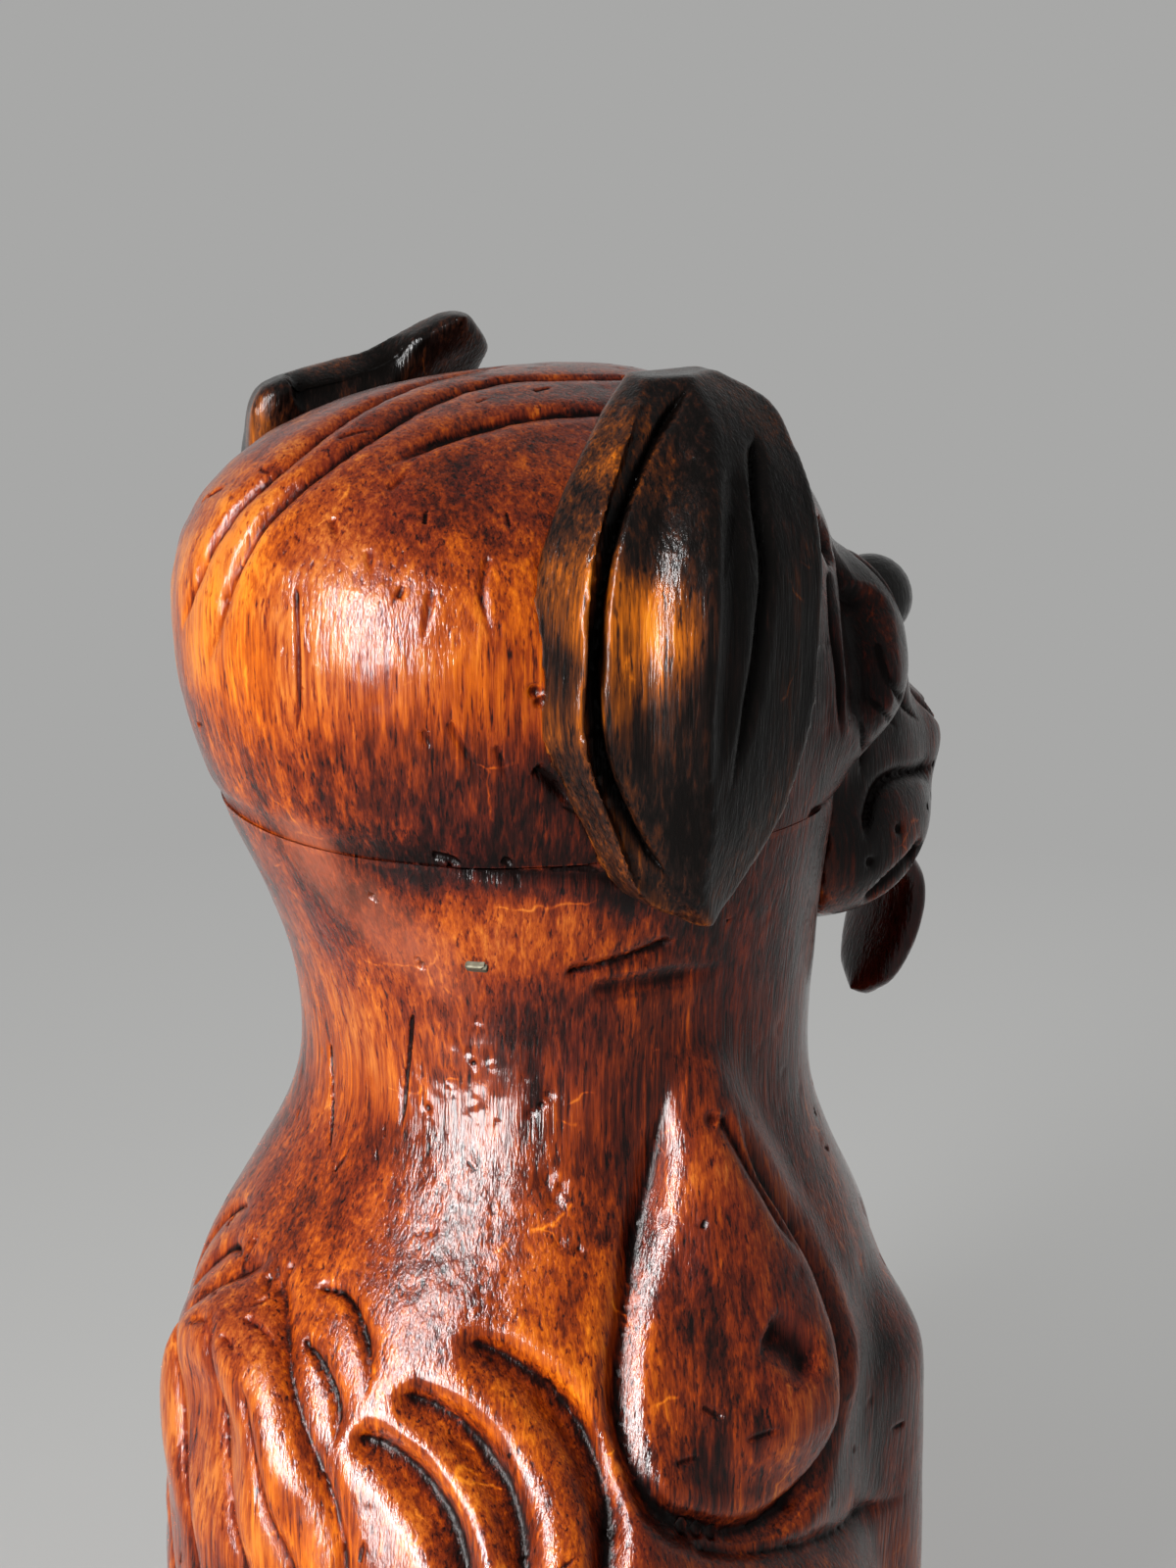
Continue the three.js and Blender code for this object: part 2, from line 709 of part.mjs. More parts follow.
// One level section: rear edge, lip of the rim, groove, edge of the leaf, ridge, front edge, back.
function earSection(place, [level, rearShare, frontShare]) {
  const v = level * (level > 0 ? earTop : earTip);
  const rear = -rearShare * earRear;
  const front = frontShare * earFront;
  const ridge = (rear + front) / 2;
  const fullness = 1 - level * level;
  const slim = lerp(earEndSlimming, 1, fullness);
  const corners = [
    [rear, earRimEdge],
    [lerp(rear, ridge, earLipShare), earRimLip * slim],
    [lerp(rear, ridge, earGrooveShare), (earLeafEdge - earGroove) * slim],
    [lerp(rear, ridge, earLeafShare), earLeafEdge * slim],
    [ridge, earRidge * slim],
    [front, earFrontEdge],
    [lerp(front, ridge, earBackShare), -earBackThick],
    [ridge, lerp(-earBackThick, -earSeatDepth, fullness)],
    [lerp(rear, ridge, earBackShare), -earBackThick],
  ];
  return corners.map(([u, height]) => place(u, v, height));
}

function earBlank(name) {
  const stations = [...earLowerStations, ...earUpperStations[name]];
  const order = stations.map((_, i) => i);
  const outline = new THREE.CubicInterpolant(order, stations.flat(), stations[0].length);
  const place = earFrame(sides[name]);
  const rows = [];
  for (let step = 0; step <= (stations.length - 1) * earStepsPerStation; step++) {
    const row = earSection(place, outline.evaluate(step / earStepsPerStation));
    rows.push(sides[name] < 0 ? row.reverse() : row);
  }
  return solidOf(stackedRings(rows, middleOf(rows[0]), middleOf(rows.at(-1))));
}

// Neck joint: two upright dowels, and two cut nails driven up through the neck

function neckDowel(forward, grow) {
  const half = neckDowelLength / 2 + (grow ? holeRelief : 0);
  return rod(onHead(0, forward, -half), onHead(0, forward, half), neckDowelRadius + grow);
}

function earDowel(side, lift, grow) {
  const place = earFrame(side);
  const relief = grow ? holeRelief : 0;
  const inner = place(0, lift, -earDowelSink - relief);
  const outer = place(0, lift, earDowelReach + relief);
  return rod(inner, outer, earDowelRadius + grow);
}

function nail(side, grow) {
  const turn = degToRad(nailTurn);
  const away = vec(side * Math.sin(turn), Math.cos(turn), 0);
  const head = onHead(0, 0, -nailDrop);
  const reach = surfaceReach(trunk, head, away, 2 * seatBack) + nailProud;
  head.addScaledVector(away, reach);
  const width = nailHeadWidth + 2 * grow;
  const height = nailHeadHeight + 2 * grow;
  const shank = new THREE.BoxGeometry(width, nailLength + 2 * grow, height);
  shank.translate(0, -nailLength / 2, 0).rotateX(-degToRad(nailSlope)).rotateZ(-side * turn);
  return solidOf(shank.translate(head.x, head.y, head.z));
}

// Assembly

const finishes = {
  wood: { color: 0x7a2f10, roughness: 0.32, metalness: 0 },
  ear: { color: 0x3a1a0c, roughness: 0.3, metalness: 0 },
  eye: { color: 0x0b0706, roughness: 0.15, metalness: 0 },
  tongue: { color: 0x4a160c, roughness: 0.35, metalness: 0 },
  dowel: { color: 0xc79a63, roughness: 0.7, metalness: 0 },
  nail: { color: 0x77756a, roughness: 0.5, metalness: 0.9 },
};

const dog = new THREE.Group();

function addPiece(name, solid, finish) {
  const material = new THREE.MeshStandardMaterial(finishes[finish]);
  const mesh = new THREE.Mesh(geometryOf(solid), material);
  mesh.name = name;
  dog.add(mesh);
}

let torso = torsoBlank(0);
const grownTorso = torsoBlank(glueGap);
const grownHead = headBlank(glueGap);
let head = headBlank(0).subtract(grownTorso).subtract(underSeat());
head = head.subtract(mouthCavity()).subtract(tongueSolid(glueGap));
for (const cutter of torsoGrooves()) torso = torso.subtract(cutter);
for (const stations of crownGrooves) {
  head = head.subtract(grooveCutter(headWood, onCrown, stations, crownGrooveHalfWidth, crownGrooveDepth));
}

for (const [place, forward] of [["front", neckDowelSpread], ["rear", -neckDowelSpread]]) {
  const hole = neckDowel(forward, dowelSlack);
  torso = torso.subtract(hole);
  head = head.subtract(hole);
  addPiece(`neck_dowel_${place}`, neckDowel(forward, 0), "dowel");
}

for (const [name, side] of Object.entries(sides)) {
  let ear = earBlank(name).subtract(grownHead).subtract(grownTorso);
  for (const [place, lift] of [["upper", earDowelSpread], ["lower", -earDowelSpread]]) {
    const hole = earDowel(side, lift, dowelSlack);
    ear = ear.subtract(hole);
    head = head.subtract(hole);
    addPiece(`ear_dowel_${name}_${place}`, earDowel(side, lift, 0), "dowel");
  }
  addPiece(`ear_${name}`, ear, "ear");

  head = head.subtract(eyeball(side, glueGap));
  addPiece(`eye_${name}`, eyeball(side, 0), "eye");

  const nailHole = nail(side, glueGap);
  torso = torso.subtract(nailHole);
  head = head.subtract(nailHole);
  addPiece(`neck_nail_${name}`, nail(side, 0), "nail");
}

addPiece("tongue", tongueSolid(0), "tongue");
addPiece("torso", torso, "wood");
addPiece("head", head, "wood");

export default dog;
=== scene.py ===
"""The finish of a seated dog carved in stained, lacquered hardwood.

Each wooden piece starts as a fine even skin over its solid, is eased until no facet shows, and is then
carved: gouge cuts, folds, pits and tool marks are real dents in the mesh. They are placed in millimetres,
or by pixels of the photograph's 1200 by 1600 frame. Lengths are metres, +Z is up, the dog faces -Y.
"""

import itertools
import math
import random
from collections import namedtuple

import bmesh
import bpy
import numpy as np
from mathutils import Matrix, Vector
from mathutils.bvhtree import BVHTree
from mathutils.kdtree import KDTree


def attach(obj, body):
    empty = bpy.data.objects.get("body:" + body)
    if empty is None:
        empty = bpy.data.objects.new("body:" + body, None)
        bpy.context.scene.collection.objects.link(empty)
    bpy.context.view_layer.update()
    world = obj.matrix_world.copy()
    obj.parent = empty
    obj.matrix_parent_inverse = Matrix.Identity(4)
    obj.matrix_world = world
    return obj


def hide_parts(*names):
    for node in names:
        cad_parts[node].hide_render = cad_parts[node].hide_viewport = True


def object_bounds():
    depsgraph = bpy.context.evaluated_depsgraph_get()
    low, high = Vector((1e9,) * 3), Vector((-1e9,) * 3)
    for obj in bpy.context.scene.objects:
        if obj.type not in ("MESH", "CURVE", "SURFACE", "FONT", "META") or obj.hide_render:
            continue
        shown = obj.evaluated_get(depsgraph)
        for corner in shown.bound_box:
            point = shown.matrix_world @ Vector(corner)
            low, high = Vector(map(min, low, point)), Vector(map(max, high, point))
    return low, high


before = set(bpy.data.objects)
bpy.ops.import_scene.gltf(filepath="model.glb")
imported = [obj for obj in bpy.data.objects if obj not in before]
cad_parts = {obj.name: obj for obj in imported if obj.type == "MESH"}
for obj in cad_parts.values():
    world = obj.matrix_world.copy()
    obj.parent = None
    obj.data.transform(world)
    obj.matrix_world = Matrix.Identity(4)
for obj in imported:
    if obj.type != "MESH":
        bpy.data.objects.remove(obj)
cad_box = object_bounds()

MM = 0.001
SEED = 11

# Camera: the photograph's place, as degrees round from the spine and up, and pixels of its frame
PHOTO_WIDTH = 1200
PHOTO_HEIGHT = 1600
FOCAL_PIXELS = 2986
SENSOR_MM = 36
VIEW_BEARING = 56
VIEW_SLOPE = 16.1
VIEW_DISTANCE = 433 * MM
NEAR_CLIP = 10 * MM
VIEW_TARGET = Vector((-3.24, -4.81, 175.7)) * MM

# Skins
WELD = 0.01 * MM  # loose corners closer than this are one
EASE_STEPS = (0.5, -0.52)  # a pull and a slightly larger push, so that easing doesn't shrink the piece
ROUND_STEPS = (0.5,)  # a pull alone, which rounds off edges
HELD_BAND = 2.5 * MM  # the easing lets go of the solid over this distance from the base
SETTLE_PASSES = 2  # easing after the skin has been made finer along the cuts
SEAT_HEIGHT = 177 * MM
SEAT_GAP = 0.3 * MM
JAW_LINE = -22 * MM  # behind this the head's underside is its flat seat
JAW_ROOM = 4 * MM  # kept clear between the jaw and the neck's top
NECK_SHARE = 30 * MM  # of the neck, under the head's skin while it is drawn
SEAT_OVERLAP = 1.2 * MM  # of the two blocks, while a skin is drawn across their seat
SEAT_HOLD = 0.2 * MM
GLUE = 0.25 * MM  # glue and filler on the seat, which close most of its gap
CREASE_ANGLE = 60  # edges sharper than this, in degrees, are shaded as edges
ROOM = 1.0  # larger than the dog

# Each skin's grid in mm, and its passes of easing and of rounding
TORSO_SKIN = (1.34, 82, 0)
HEAD_SKIN = (1.0, 60, 0)
RIGHT_EAR_SKIN = (0.65, 50, 0)
LEFT_EAR_SKIN = (0.9, 60, 5)
EYE_SKIN = (0.4, 12, 0)
TONGUE_SKIN = (0.9, 60, 4)

# Hand-scraped unevenness: width, length and depth in mm, and the steps over which hollows are measured
Scrape = namedtuple("Scrape", "width length depth hollow_steps")
BLOCK_SCRAPE = Scrape(6, 13, 0.4, 16)
RIGHT_EAR_SCRAPE = Scrape(4, 9, 0.3, 10)
LEFT_EAR_SCRAPE = Scrape(7, 12, 0.7, 10)
EYE_SCRAPE = Scrape(3, 3, 0.1, 8)
TONGUE_SCRAPE = Scrape(3, 6, 0.25, 8)

# Where cuts are aimed from
HEAD_MIDDLE = Vector((0, -28, 186)) * MM
CAST_REACH = 250 * MM
CUT_STEPS = {"photo": 2.2, "round": 0.35, "crown": 0.3, "front": 0.35}  # in each view's own units

# Cuts
CUT_RISE_SHARE = 0.08  # share of a cut's length over which it deepens
CUT_END_WIDTH = 0.45  # width at a cut's ends, as a share of its middle
TWIN_REACH = 4 * MM  # a twin's point is dropped where it lies farther than this from the wood
FINE_SHARE = 0.9  # the skin is made finer within this share of a cut's half width
FINE_REACH = 1.9 * MM  # and no further than this from the middle of a wide cut
NARROW_CUT = 1.3 * MM  # half width below which it is made finer twice

# Tools, as two powers of a cut's section: depth * (1 - (distance / half width) ** bottom) ** lip
FOLD = (0.8, 2.0)  # rounded ridges that meet in a sharp valley
GOUGE = (2.0, 1.0)  # a round bottom and crisp edges
WORN = (2.0, 2.0)  # a round bottom and soft edges

# A cut follows its corners as one of the views sees them: pixels of the photograph, a bearing from the
# spine in degrees and a height in mm, a bearing and a slope in degrees round the head's middle, or mm
# across and up from the front. Half width and depth are in mm, fade is the share of its length over which
# it runs out, and a cut with a twin is repeated on the dog's other side.
Cut = namedtuple("Cut", "view corners half_width depth fade tool twin", defaults=[False])

# A pit's place as in a cut, its radius and its depth in mm
Pit = namedtuple("Pit", "view place radius depth")

# Torso: the solid's own grooves, each with a finer cut down its middle
ARM_GROOVE = [
    (82, 144), (78, 130), (73, 117), (69, 104), (69, 94), (73, 85), (80, 80), (90, 76),
    (102, 77), (110, 85), (111, 94), (113, 103), (111, 114), (101, 128), (96, 140),
]
ELBOW_GROOVE = [(77, 79), (92, 73), (114, 67), (138, 63)]
THIGH_GROOVES = [
    [(41, 110), (50, 106), (57, 101), (63, 93), (65, 86), (64, 76), (62, 64)],
    [(32, 102), (40, 99), (46, 94), (51, 88), (53, 80), (53, 68)],
    [(26, 95), (33, 93), (39, 88), (43, 83), (45, 77), (46, 66)],
]
TAIL_MIDDLE = Vector((0, 86))
TUFT_TURNS = (0, 90)
TUFTS = [
    [(14, 112), (20, 112), (25, 109), (28, 104), (28, 99)],
    [(15, 106), (20, 103), (24, 98), (24, 91)],
]

# Torso: what the tools left besides
ARM_HOLLOW = [(782, 1358), (812, 1376), (838, 1408)]
ARM_SCARS = [
    [(716, 1436), (742, 1450)],
    [(764, 1470), (800, 1458)],
    [(690, 1494), (716, 1486)],
]
ARM_FOLD = [(736, 1132), (764, 1184), (794, 1236), (822, 1286)]
TAIL_TUFTS = [
    [(248, 1343), (268, 1358), (282, 1379), (284, 1406)],
    [(224, 1362), (232, 1371), (239, 1384)],
    [(263, 1257), (241, 1295), (224, 1324)],
    [(275, 1300), (272, 1312), (268, 1324)],
]
NECK_GOUGE = [(575, 996), (640, 980), (692, 958)]
NECK_WRINKLE = [(600, 1012), (660, 1004), (745, 986)]
NECK_STOP_CUT = [(455, 884), (530, 893), (620, 896), (690, 902)]
NECK_CHIPS = [
    [(512, 876), (524, 886), (530, 906)],
    [(440, 872), (462, 878), (480, 888)],
    [(560, 888), (590, 886), (620, 894)],
]
NECK_CRACK = [(421, 1032), (416, 1090), (409, 1160)]
NAPE_CRACK = [(337, 1062), (339, 1120), (336, 1184)]
PLUME_OUTLINES = [
    [(2, 113), (12, 106), (20, 95), (26, 82), (27, 70), (23, 58), (15, 46), (6, 38)],
    [(2, 113), (-8, 107), (-17, 96), (-21, 84), (-20, 72), (-15, 60), (-8, 48), (0, 38)],
]
PLUME_STRANDS = [
    [(-2, 106), (1.5, 95.5), (3.5, 87), (7, 78), (10, 70.5), (11, 60), (8, 50)],
    [(-13, 101), (-10, 92), (-8, 82), (-5, 73), (-2, 64), (-1, 54), (-2, 46)],
    [(9, 100), (12, 91), (15, 82), (19, 73), (20, 64), (17, 54)],
]
CHEST_TUFTS = [(0, 122), (-13, 116), (13, 116), (0, 106), (-22, 104), (22, 104), (-11, 95), (11, 95)]
FRONT_TOES = [[(-18.5, 17), (-18, 10), (-17.5, 3)], [(-27, 17), (-27.5, 10), (-28, 3)]]
HIND_TOES = [[(-42.5, 15), (-42, 9), (-41.5, 3)], [(-48, 14), (-48.5, 9), (-49, 4)]]


def turned_tufts():
    """The tufts as they turn round the top of the tail."""
    for degrees in TUFT_TURNS:
        turn = Matrix.Rotation(math.radians(degrees), 2)
        for tuft in TUFTS:
            yield [TAIL_MIDDLE + turn @ (Vector(corner) - TAIL_MIDDLE) for corner in tuft]


SEAM_CUTS = [
    Cut("photo", NECK_STOP_CUT, 1.6, 0.5, 0.3, WORN),
    *[Cut("photo", chip, 0.8, 0.6, 0.4, GOUGE) for chip in NECK_CHIPS],
]
TORSO_CUTS = [
    Cut("round", ARM_GROOVE, 5.0, 1.9, 0.1, FOLD, True),
    Cut("photo", ARM_FOLD, 3.4, 1.5, 0.3, FOLD, True),
    Cut("photo", ARM_HOLLOW, 5.0, 1.8, 0.3, WORN, True),
    *[Cut("photo", scar, 0.9, 0.35, 0.4, WORN) for scar in ARM_SCARS],
    Cut("round", ELBOW_GROOVE, 4.0, 1.4, 0.2, FOLD, True),
    *[Cut("round", groove, 5.6, 2.2, 0.15, FOLD, True) for groove in THIGH_GROOVES],
    *[Cut("round", tuft, 2.0, 1.3, 0.4, FOLD) for tuft in turned_tufts()],
    *[Cut("photo", tuft, 1.8, 0.9, 0.5, FOLD, True) for tuft in TAIL_TUFTS],
    *[Cut("round", outline, 4.6, 1.8, 0.2, FOLD) for outline in PLUME_OUTLINES],
    *[Cut("round", strand, 4.0, 1.5, 0.3, FOLD) for strand in PLUME_STRANDS],
    Cut("photo", NECK_GOUGE, 2.4, 1.4, 0.15, FOLD),
    Cut("photo", NECK_WRINKLE, 2.6, 0.8, 0.4, WORN, True),
    *SEAM_CUTS,
    Cut("photo", NECK_CRACK, 0.5, 0.5, 0.3, GOUGE),
    Cut("photo", NAPE_CRACK, 0.5, 0.5, 0.3, GOUGE),
    *[
        Cut("front", [(x - 4.5, z + 5), (x - 1, z - 3), (x + 3.5, z - 8)], 2.4, 0.9, 0.5, FOLD)
        for x, z in CHEST_TUFTS
    ],
    *[Cut("front", toe, 2.0, 1.5, 0.2, FOLD, True) for toe in FRONT_TOES + HIND_TOES],
]
# Worm holes and bruises: place, radius and depth
WORM_HOLES = {
    "below the seam": [((380, 915), 0.9, 0.6), ((384, 919), 0.6, 0.5)],
    "neck": [((430, 985), 1.0, 0.7), ((426, 979), 0.6, 0.5)],
    "nape": [((436, 1131), 1.0, 0.5)],
    "shoulder top": [((559, 1117), 1.5, 0.5), ((541, 1136), 1.2, 0.4), ((552, 1128), 0.9, 0.5)],
    "shoulder blade": [((558, 1205), 2.2, 0.6), ((566, 1226), 1.9, 0.6), ((572, 1210), 1.4, 0.5)],
    "arm top": [((728, 1142), 2.0, 0.8), ((738, 1150), 1.2, 0.5)],
    "behind the arm": [((676, 1245), 2.0, 0.6)],
    "flank": [((571, 1267), 1.4, 0.4), ((620, 1264), 1.4, 0.4), ((590, 1275), 1.0, 0.4)],
}
TORSO_PITS = [Pit("photo", *hole) for holes in WORM_HOLES.values() for hole in holes]

# Head
CROWN_GROOVES = [
    [(-12, 59), (-4, 47), (0, 39), (2, 31), (0, 25), (-3, 17), (-7, 11)],
    [(26, 68), (8, 55), (6, 48), (8, 35), (5, 24), (2, 14), (-1, 9)],
    [(36, 55), (23, 48), (17, 40), (14, 32)],
]
SKULL_CRACK = [(301, 596), (303, 650), (304, 718), (300, 764)]
EAR_CREASE = [(612, 492), (600, 530), (580, 565)]
SKULL_NICKS = [
    [(497, 565), (492, 610), (505, 665)],
    [(338, 528), (347, 556)],
    [(458, 735), (470, 760), (492, 800)],
    [(505, 760), (520, 802)],
    [(430, 745), (441, 768)],
    [(440, 602), (432, 660)],
    [(375, 560), (380, 592)],
    [(395, 500), (420, 478)],
]
EAR_NOTCH = [(544, 784), (562, 797), (586, 826)]
CHEEK_FOLD = [(847, 580), (852, 640), (860, 700), (858, 760)]
BROW_FLAT = [(832, 525), (842, 548), (852, 570)]
LID_HOLLOW = [(852, 570), (860, 588), (868, 612), (876, 642)]
FACE_FOLDS = [
    [(884, 652), (888, 676), (894, 702), (904, 728), (918, 746)],
    [(903, 650), (908, 676), (914, 700), (926, 722), (940, 738)],
]
CHEEK_WRINKLE = [(864, 640), (876, 690), (884, 740), (878, 800)]
CHEEK_FLAT = [(872, 590), (884, 640), (892, 700), (890, 760)]
MOUTH_CORNER = [(958, 781), (938, 786), (915, 791), (898, 804), (888, 834), (884, 866)]
JOWL_EDGE = [(948, 856), (926, 884), (900, 908), (868, 934)]
EYE_MIDDLE = Vector((-19, 202))
LID_RADIUS = 8.4
FOREHEAD_FOLDS = [
    [(0, 211), (-6, 209.5), (-13, 212), (-19, 216)],
    [(0, 219), (-6, 217.5), (-12, 219.5), (-17, 223)],
]
NOSE_ROLL_UPPER = [(0, 198.5), (-5, 199.5), (-9, 203)]
NOSE_ROLL_LOWER = [(0, 192), (-7, 192.8), (-13, 196)]
NOSE_PAD = [(0, 188.5), (-5.5, 188), (-9.5, 184.5), (-9, 179.5), (-5, 175), (0, 173.5)]
NOSTRIL = [(-4.2, 178), (-6, 179), (-8, 181.5)]
PHILTRUM = [(0, 173.5), (0, 168), (0, 162)]
LIP = [(0, 162), (-6, 160.3), (-13, 159), (-19, 158.5)]
WHISKERS = [(-8, 170), (-12, 171.5), (-16, 171.5), (-10, 166), (-14, 167), (-18, 167)]


def ring(middle, radius):
    """Corners of a ring, the first of them also its last."""
    turns = [math.radians(degrees) for degrees in range(0, 361, 30)]
    return [middle + radius * Vector((math.cos(turn), math.sin(turn))) for turn in turns]


HEAD_CUTS = [
    *SEAM_CUTS,
    *[Cut("crown", groove, 1.7, 0.9, 0.2, WORN) for groove in CROWN_GROOVES],
    Cut("photo", SKULL_CRACK, 0.6, 0.4, 0.3, GOUGE),
    Cut("photo", EAR_CREASE, 1.2, 0.7, 0.3, GOUGE),
    *[Cut("photo", nick, 0.8, 0.3, 0.6, GOUGE) for nick in SKULL_NICKS],
    Cut("photo", EAR_NOTCH, 2.6, 1.3, 0.4, FOLD, True),
    Cut("photo", CHEEK_FOLD, 2.6, 1.7, 0.3, FOLD, True),
    Cut("photo", CHEEK_WRINKLE, 2.2, 1.5, 0.3, FOLD, True),
    *[Cut("photo", fold, 1.8, 1.4, 0.3, FOLD, True) for fold in FACE_FOLDS],
    Cut("photo", BROW_FLAT, 5.0, 2.4, 0.3, WORN, True),
    Cut("photo", LID_HOLLOW, 4.5, 2.4, 0.3, WORN, True),
    Cut("photo", CHEEK_FLAT, 8.0, 3.0, 0.3, WORN, True),
    Cut("photo", MOUTH_CORNER, 3.0, 2.0, 0.3, FOLD, True),
    Cut("photo", JOWL_EDGE, 3.5, 2.0, 0.2, WORN, True),
    Cut("front", ring(EYE_MIDDLE, LID_RADIUS), 1.7, 1.0, 0.05, FOLD, True),
    *[Cut("front", fold, 2.6, 1.2, 0.3, FOLD, True) for fold in FOREHEAD_FOLDS],
    Cut("front", NOSE_ROLL_UPPER, 2.2, 1.3, 0.3, FOLD, True),
    Cut("front", NOSE_ROLL_LOWER, 2.4, 1.4, 0.3, FOLD, True),
    Cut("front", NOSE_PAD, 1.8, 1.2, 0.1, FOLD, True),
    Cut("front", NOSTRIL, 1.5, 1.8, 0.4, GOUGE, True),
    Cut("front", PHILTRUM, 1.4, 1.0, 0.1, FOLD),
    Cut("front", LIP, 2.0, 1.3, 0.2, FOLD, True),
]
HEAD_PITS = [
    Pit("photo", (546, 706), 1.5, 0.8),
    Pit("photo", (551, 716), 1.2, 0.6),
    Pit("photo", (918, 846), 1.3, 0.8),
    Pit("photo", (889, 880), 1.3, 0.8),
    *[Pit("front", (side * x, z), 0.7, 0.6) for x, z in WHISKERS for side in (1, -1)],
]

# Ears
EAR_GROOVE = [
    (708, 387), (678, 427), (648, 484), (624, 545), (612, 602), (606, 667),
    (605, 716), (612, 773), (631, 822), (656, 866), (694, 907),
]
LEAF_HOLLOW = [(700, 440), (668, 560), (655, 690), (678, 830)]
LEAF_GROOVE = [(771, 439), (775, 513), (783, 578), (779, 635), (771, 696), (759, 757), (743, 818)]
LEAF_RIDGE_SIDE = [(752, 470), (750, 560), (748, 650), (740, 740), (726, 820)]
LEAF_VEIN = [(751, 521), (747, 560), (741, 602)]

EAR_CUTS = [
    Cut("photo", EAR_GROOVE, 2.2, 2.0, 0.12, FOLD, True),
    Cut("photo", LEAF_HOLLOW, 4.5, 0.9, 0.3, WORN, True),
    Cut("photo", LEAF_GROOVE, 2.6, 2.0, 0.3, FOLD, True),
    Cut("photo", LEAF_RIDGE_SIDE, 3.0, 0.7, 0.3, WORN, True),
    Cut("photo", LEAF_VEIN, 0.9, 0.6, 0.4, GOUGE, True),
]

LEFT_EAR_END = [(472, 312), (509, 367)]
LEFT_EAR_SADDLE = [(295, 396), (345, 382), (390, 362), (425, 342)]
LEFT_EAR_CUTS = [Cut("photo", LEFT_EAR_SADDLE, 6.0, 2.6, 0.3, WORN)]

# Eyes and tongue
IRIS_RADIUS = 3.4
EYE_CUTS = [Cut("front", ring(EYE_MIDDLE, IRIS_RADIUS), 0.6, 0.3, 0.05, GOUGE)]
PUPIL_RADIUS = 1.3
PUPIL_DEPTH = 0.5
TONGUE_CUTS = [Cut("front", [(0, 157), (0.3, 146), (0, 134)], 2.2, 0.9, 0.3, FOLD)]

# Wear strewn by chance: where, how many and how large
WORN_FLANK = (420, 1060), (520, 1370)  # a hammered-looking area in the photograph
TORSO_AREA = (-180, 12), (180, 168)  # all round, in the round view
CROWN_AREA = (-90, -5), (90, 75)  # the back and top of the head, in the crown view
TORSO_NICKS = 110
FLANK_DENTS = 110
TORSO_DENTS = 300
HEAD_NICKS = 70
HEAD_DENTS = 160
DENT_RADII = (1.0, 2.4)  # mm, as are the next two
DENT_DEPTHS = (0.06, 0.17)
NICK_HALF_WIDTHS = (0.3, 0.65)
NICK_STEEPNESS = (0.3, 0.7)  # depth as a share of the half width
NICK_LENGTHS = (0.15, 1)  # as a share of the longest
LONGEST_NICK = 4  # in the view's own units
NICK_LEAN = 0.7  # radians off the grain, on the whole
NICK_FADE = 0.5

# The dark run of stain along the neck's seam, in pixels of the photograph
SEAM_START = Vector((400, 872))
SEAM_STEP = Vector((10, 0.9))
SEAM_STEPS = 28
SEAM_RADIUS = 3
SEAM_TONE = 0.02

# Patches of tone: the place in the photograph, or from the front for the face, the radius in mm, and the
# tone there from 0, near black, to 1, bright amber. Most follow the stain's own patches; some also darken
# the wood as painted shade: on the side turned from the window, and under the head and the jaw
BODY_PATCHES = {
    "back of the skull": [((215, 640), 14, 0.88), ((250, 560), 10, 0.74)],
    "side of the skull": [((400, 640), 10, 0.7), ((480, 690), 10, 0.76), ((565, 640), 8, 0.78)],
    "low on the skull": [((330, 740), 9, 0.74), ((240, 760), 8, 0.6)],
    "crown": [
        ((352, 428), 12, 0.5), ((470, 480), 14, 0.42), ((560, 470), 8, 0.58), ((600, 432), 8, 0.38),
    ],
    "above the seam": [
        ((420, 825), 11, 0.2), ((500, 835), 8, 0.16), ((330, 850), 10, 0.42), ((560, 850), 9, 0.25),
    ],
    "dark face": [
        ((880, 600), 8, 0.02), ((868, 680), 8, 0.03), ((880, 760), 9, 0.03), ((900, 830), 8, 0.04),
    ],
    "jaw": [((848, 800), 7, 0.08), ((835, 850), 6, 0.14)],
    # Painted shadow: near black where the ear's rear edge lifts off the head
    "ear notch": [((560, 806), 4, 0.05), ((590, 846), 4, 0.05)],
    # The darker patches from here to the shoulder are partly painted shade, under the head and the jaw
    "below the seam": [((480, 932), 5, 0.8), ((520, 950), 9, 0.56)],
    "nape and neck": [((330, 1050), 9, 0.78), ((430, 1060), 7, 0.55), ((560, 1040), 8, 0.24)],
    "throat": [((760, 950), 12, 0.22)],
    "shoulder": [((640, 1100), 9, 0.34), ((470, 1180), 12, 0.46)],
    "back": [((270, 1200), 12, 0.54)],
    "tail": [
        ((220, 1310), 11, 0.55), ((300, 1400), 12, 0.66), ((200, 1460), 11, 0.66),
        ((290, 1520), 11, 0.7),
    ],
    "thigh": [((560, 1320), 10, 0.66), ((600, 1400), 8, 0.66), ((470, 1450), 8, 0.55)],
    # The arm, shoulder front and chest patches are partly painted shade, on the side turned from the
    # window
    "arm": [
        ((720, 1290), 12, 0.36), ((690, 1390), 9, 0.5), ((730, 1500), 10, 0.32), ((800, 1340), 9, 0.28),
    ],
    "shoulder front": [((790, 1120), 9, 0.34)],
    "chest": [((900, 1430), 14, 0.2)],
    "seam": [(SEAM_START + i * SEAM_STEP, SEAM_RADIUS, SEAM_TONE) for i in range(SEAM_STEPS)],
}
FACE_PATCHES = {
    "muzzle": [((0, 184), 24, 0.08)],
    "cheek": [((-20, 180), 16, 0.14)],
    "eye": [((-18, 204), 14, 0.1)],
    "forehead": [((0, 216), 14, 0.34)],
}
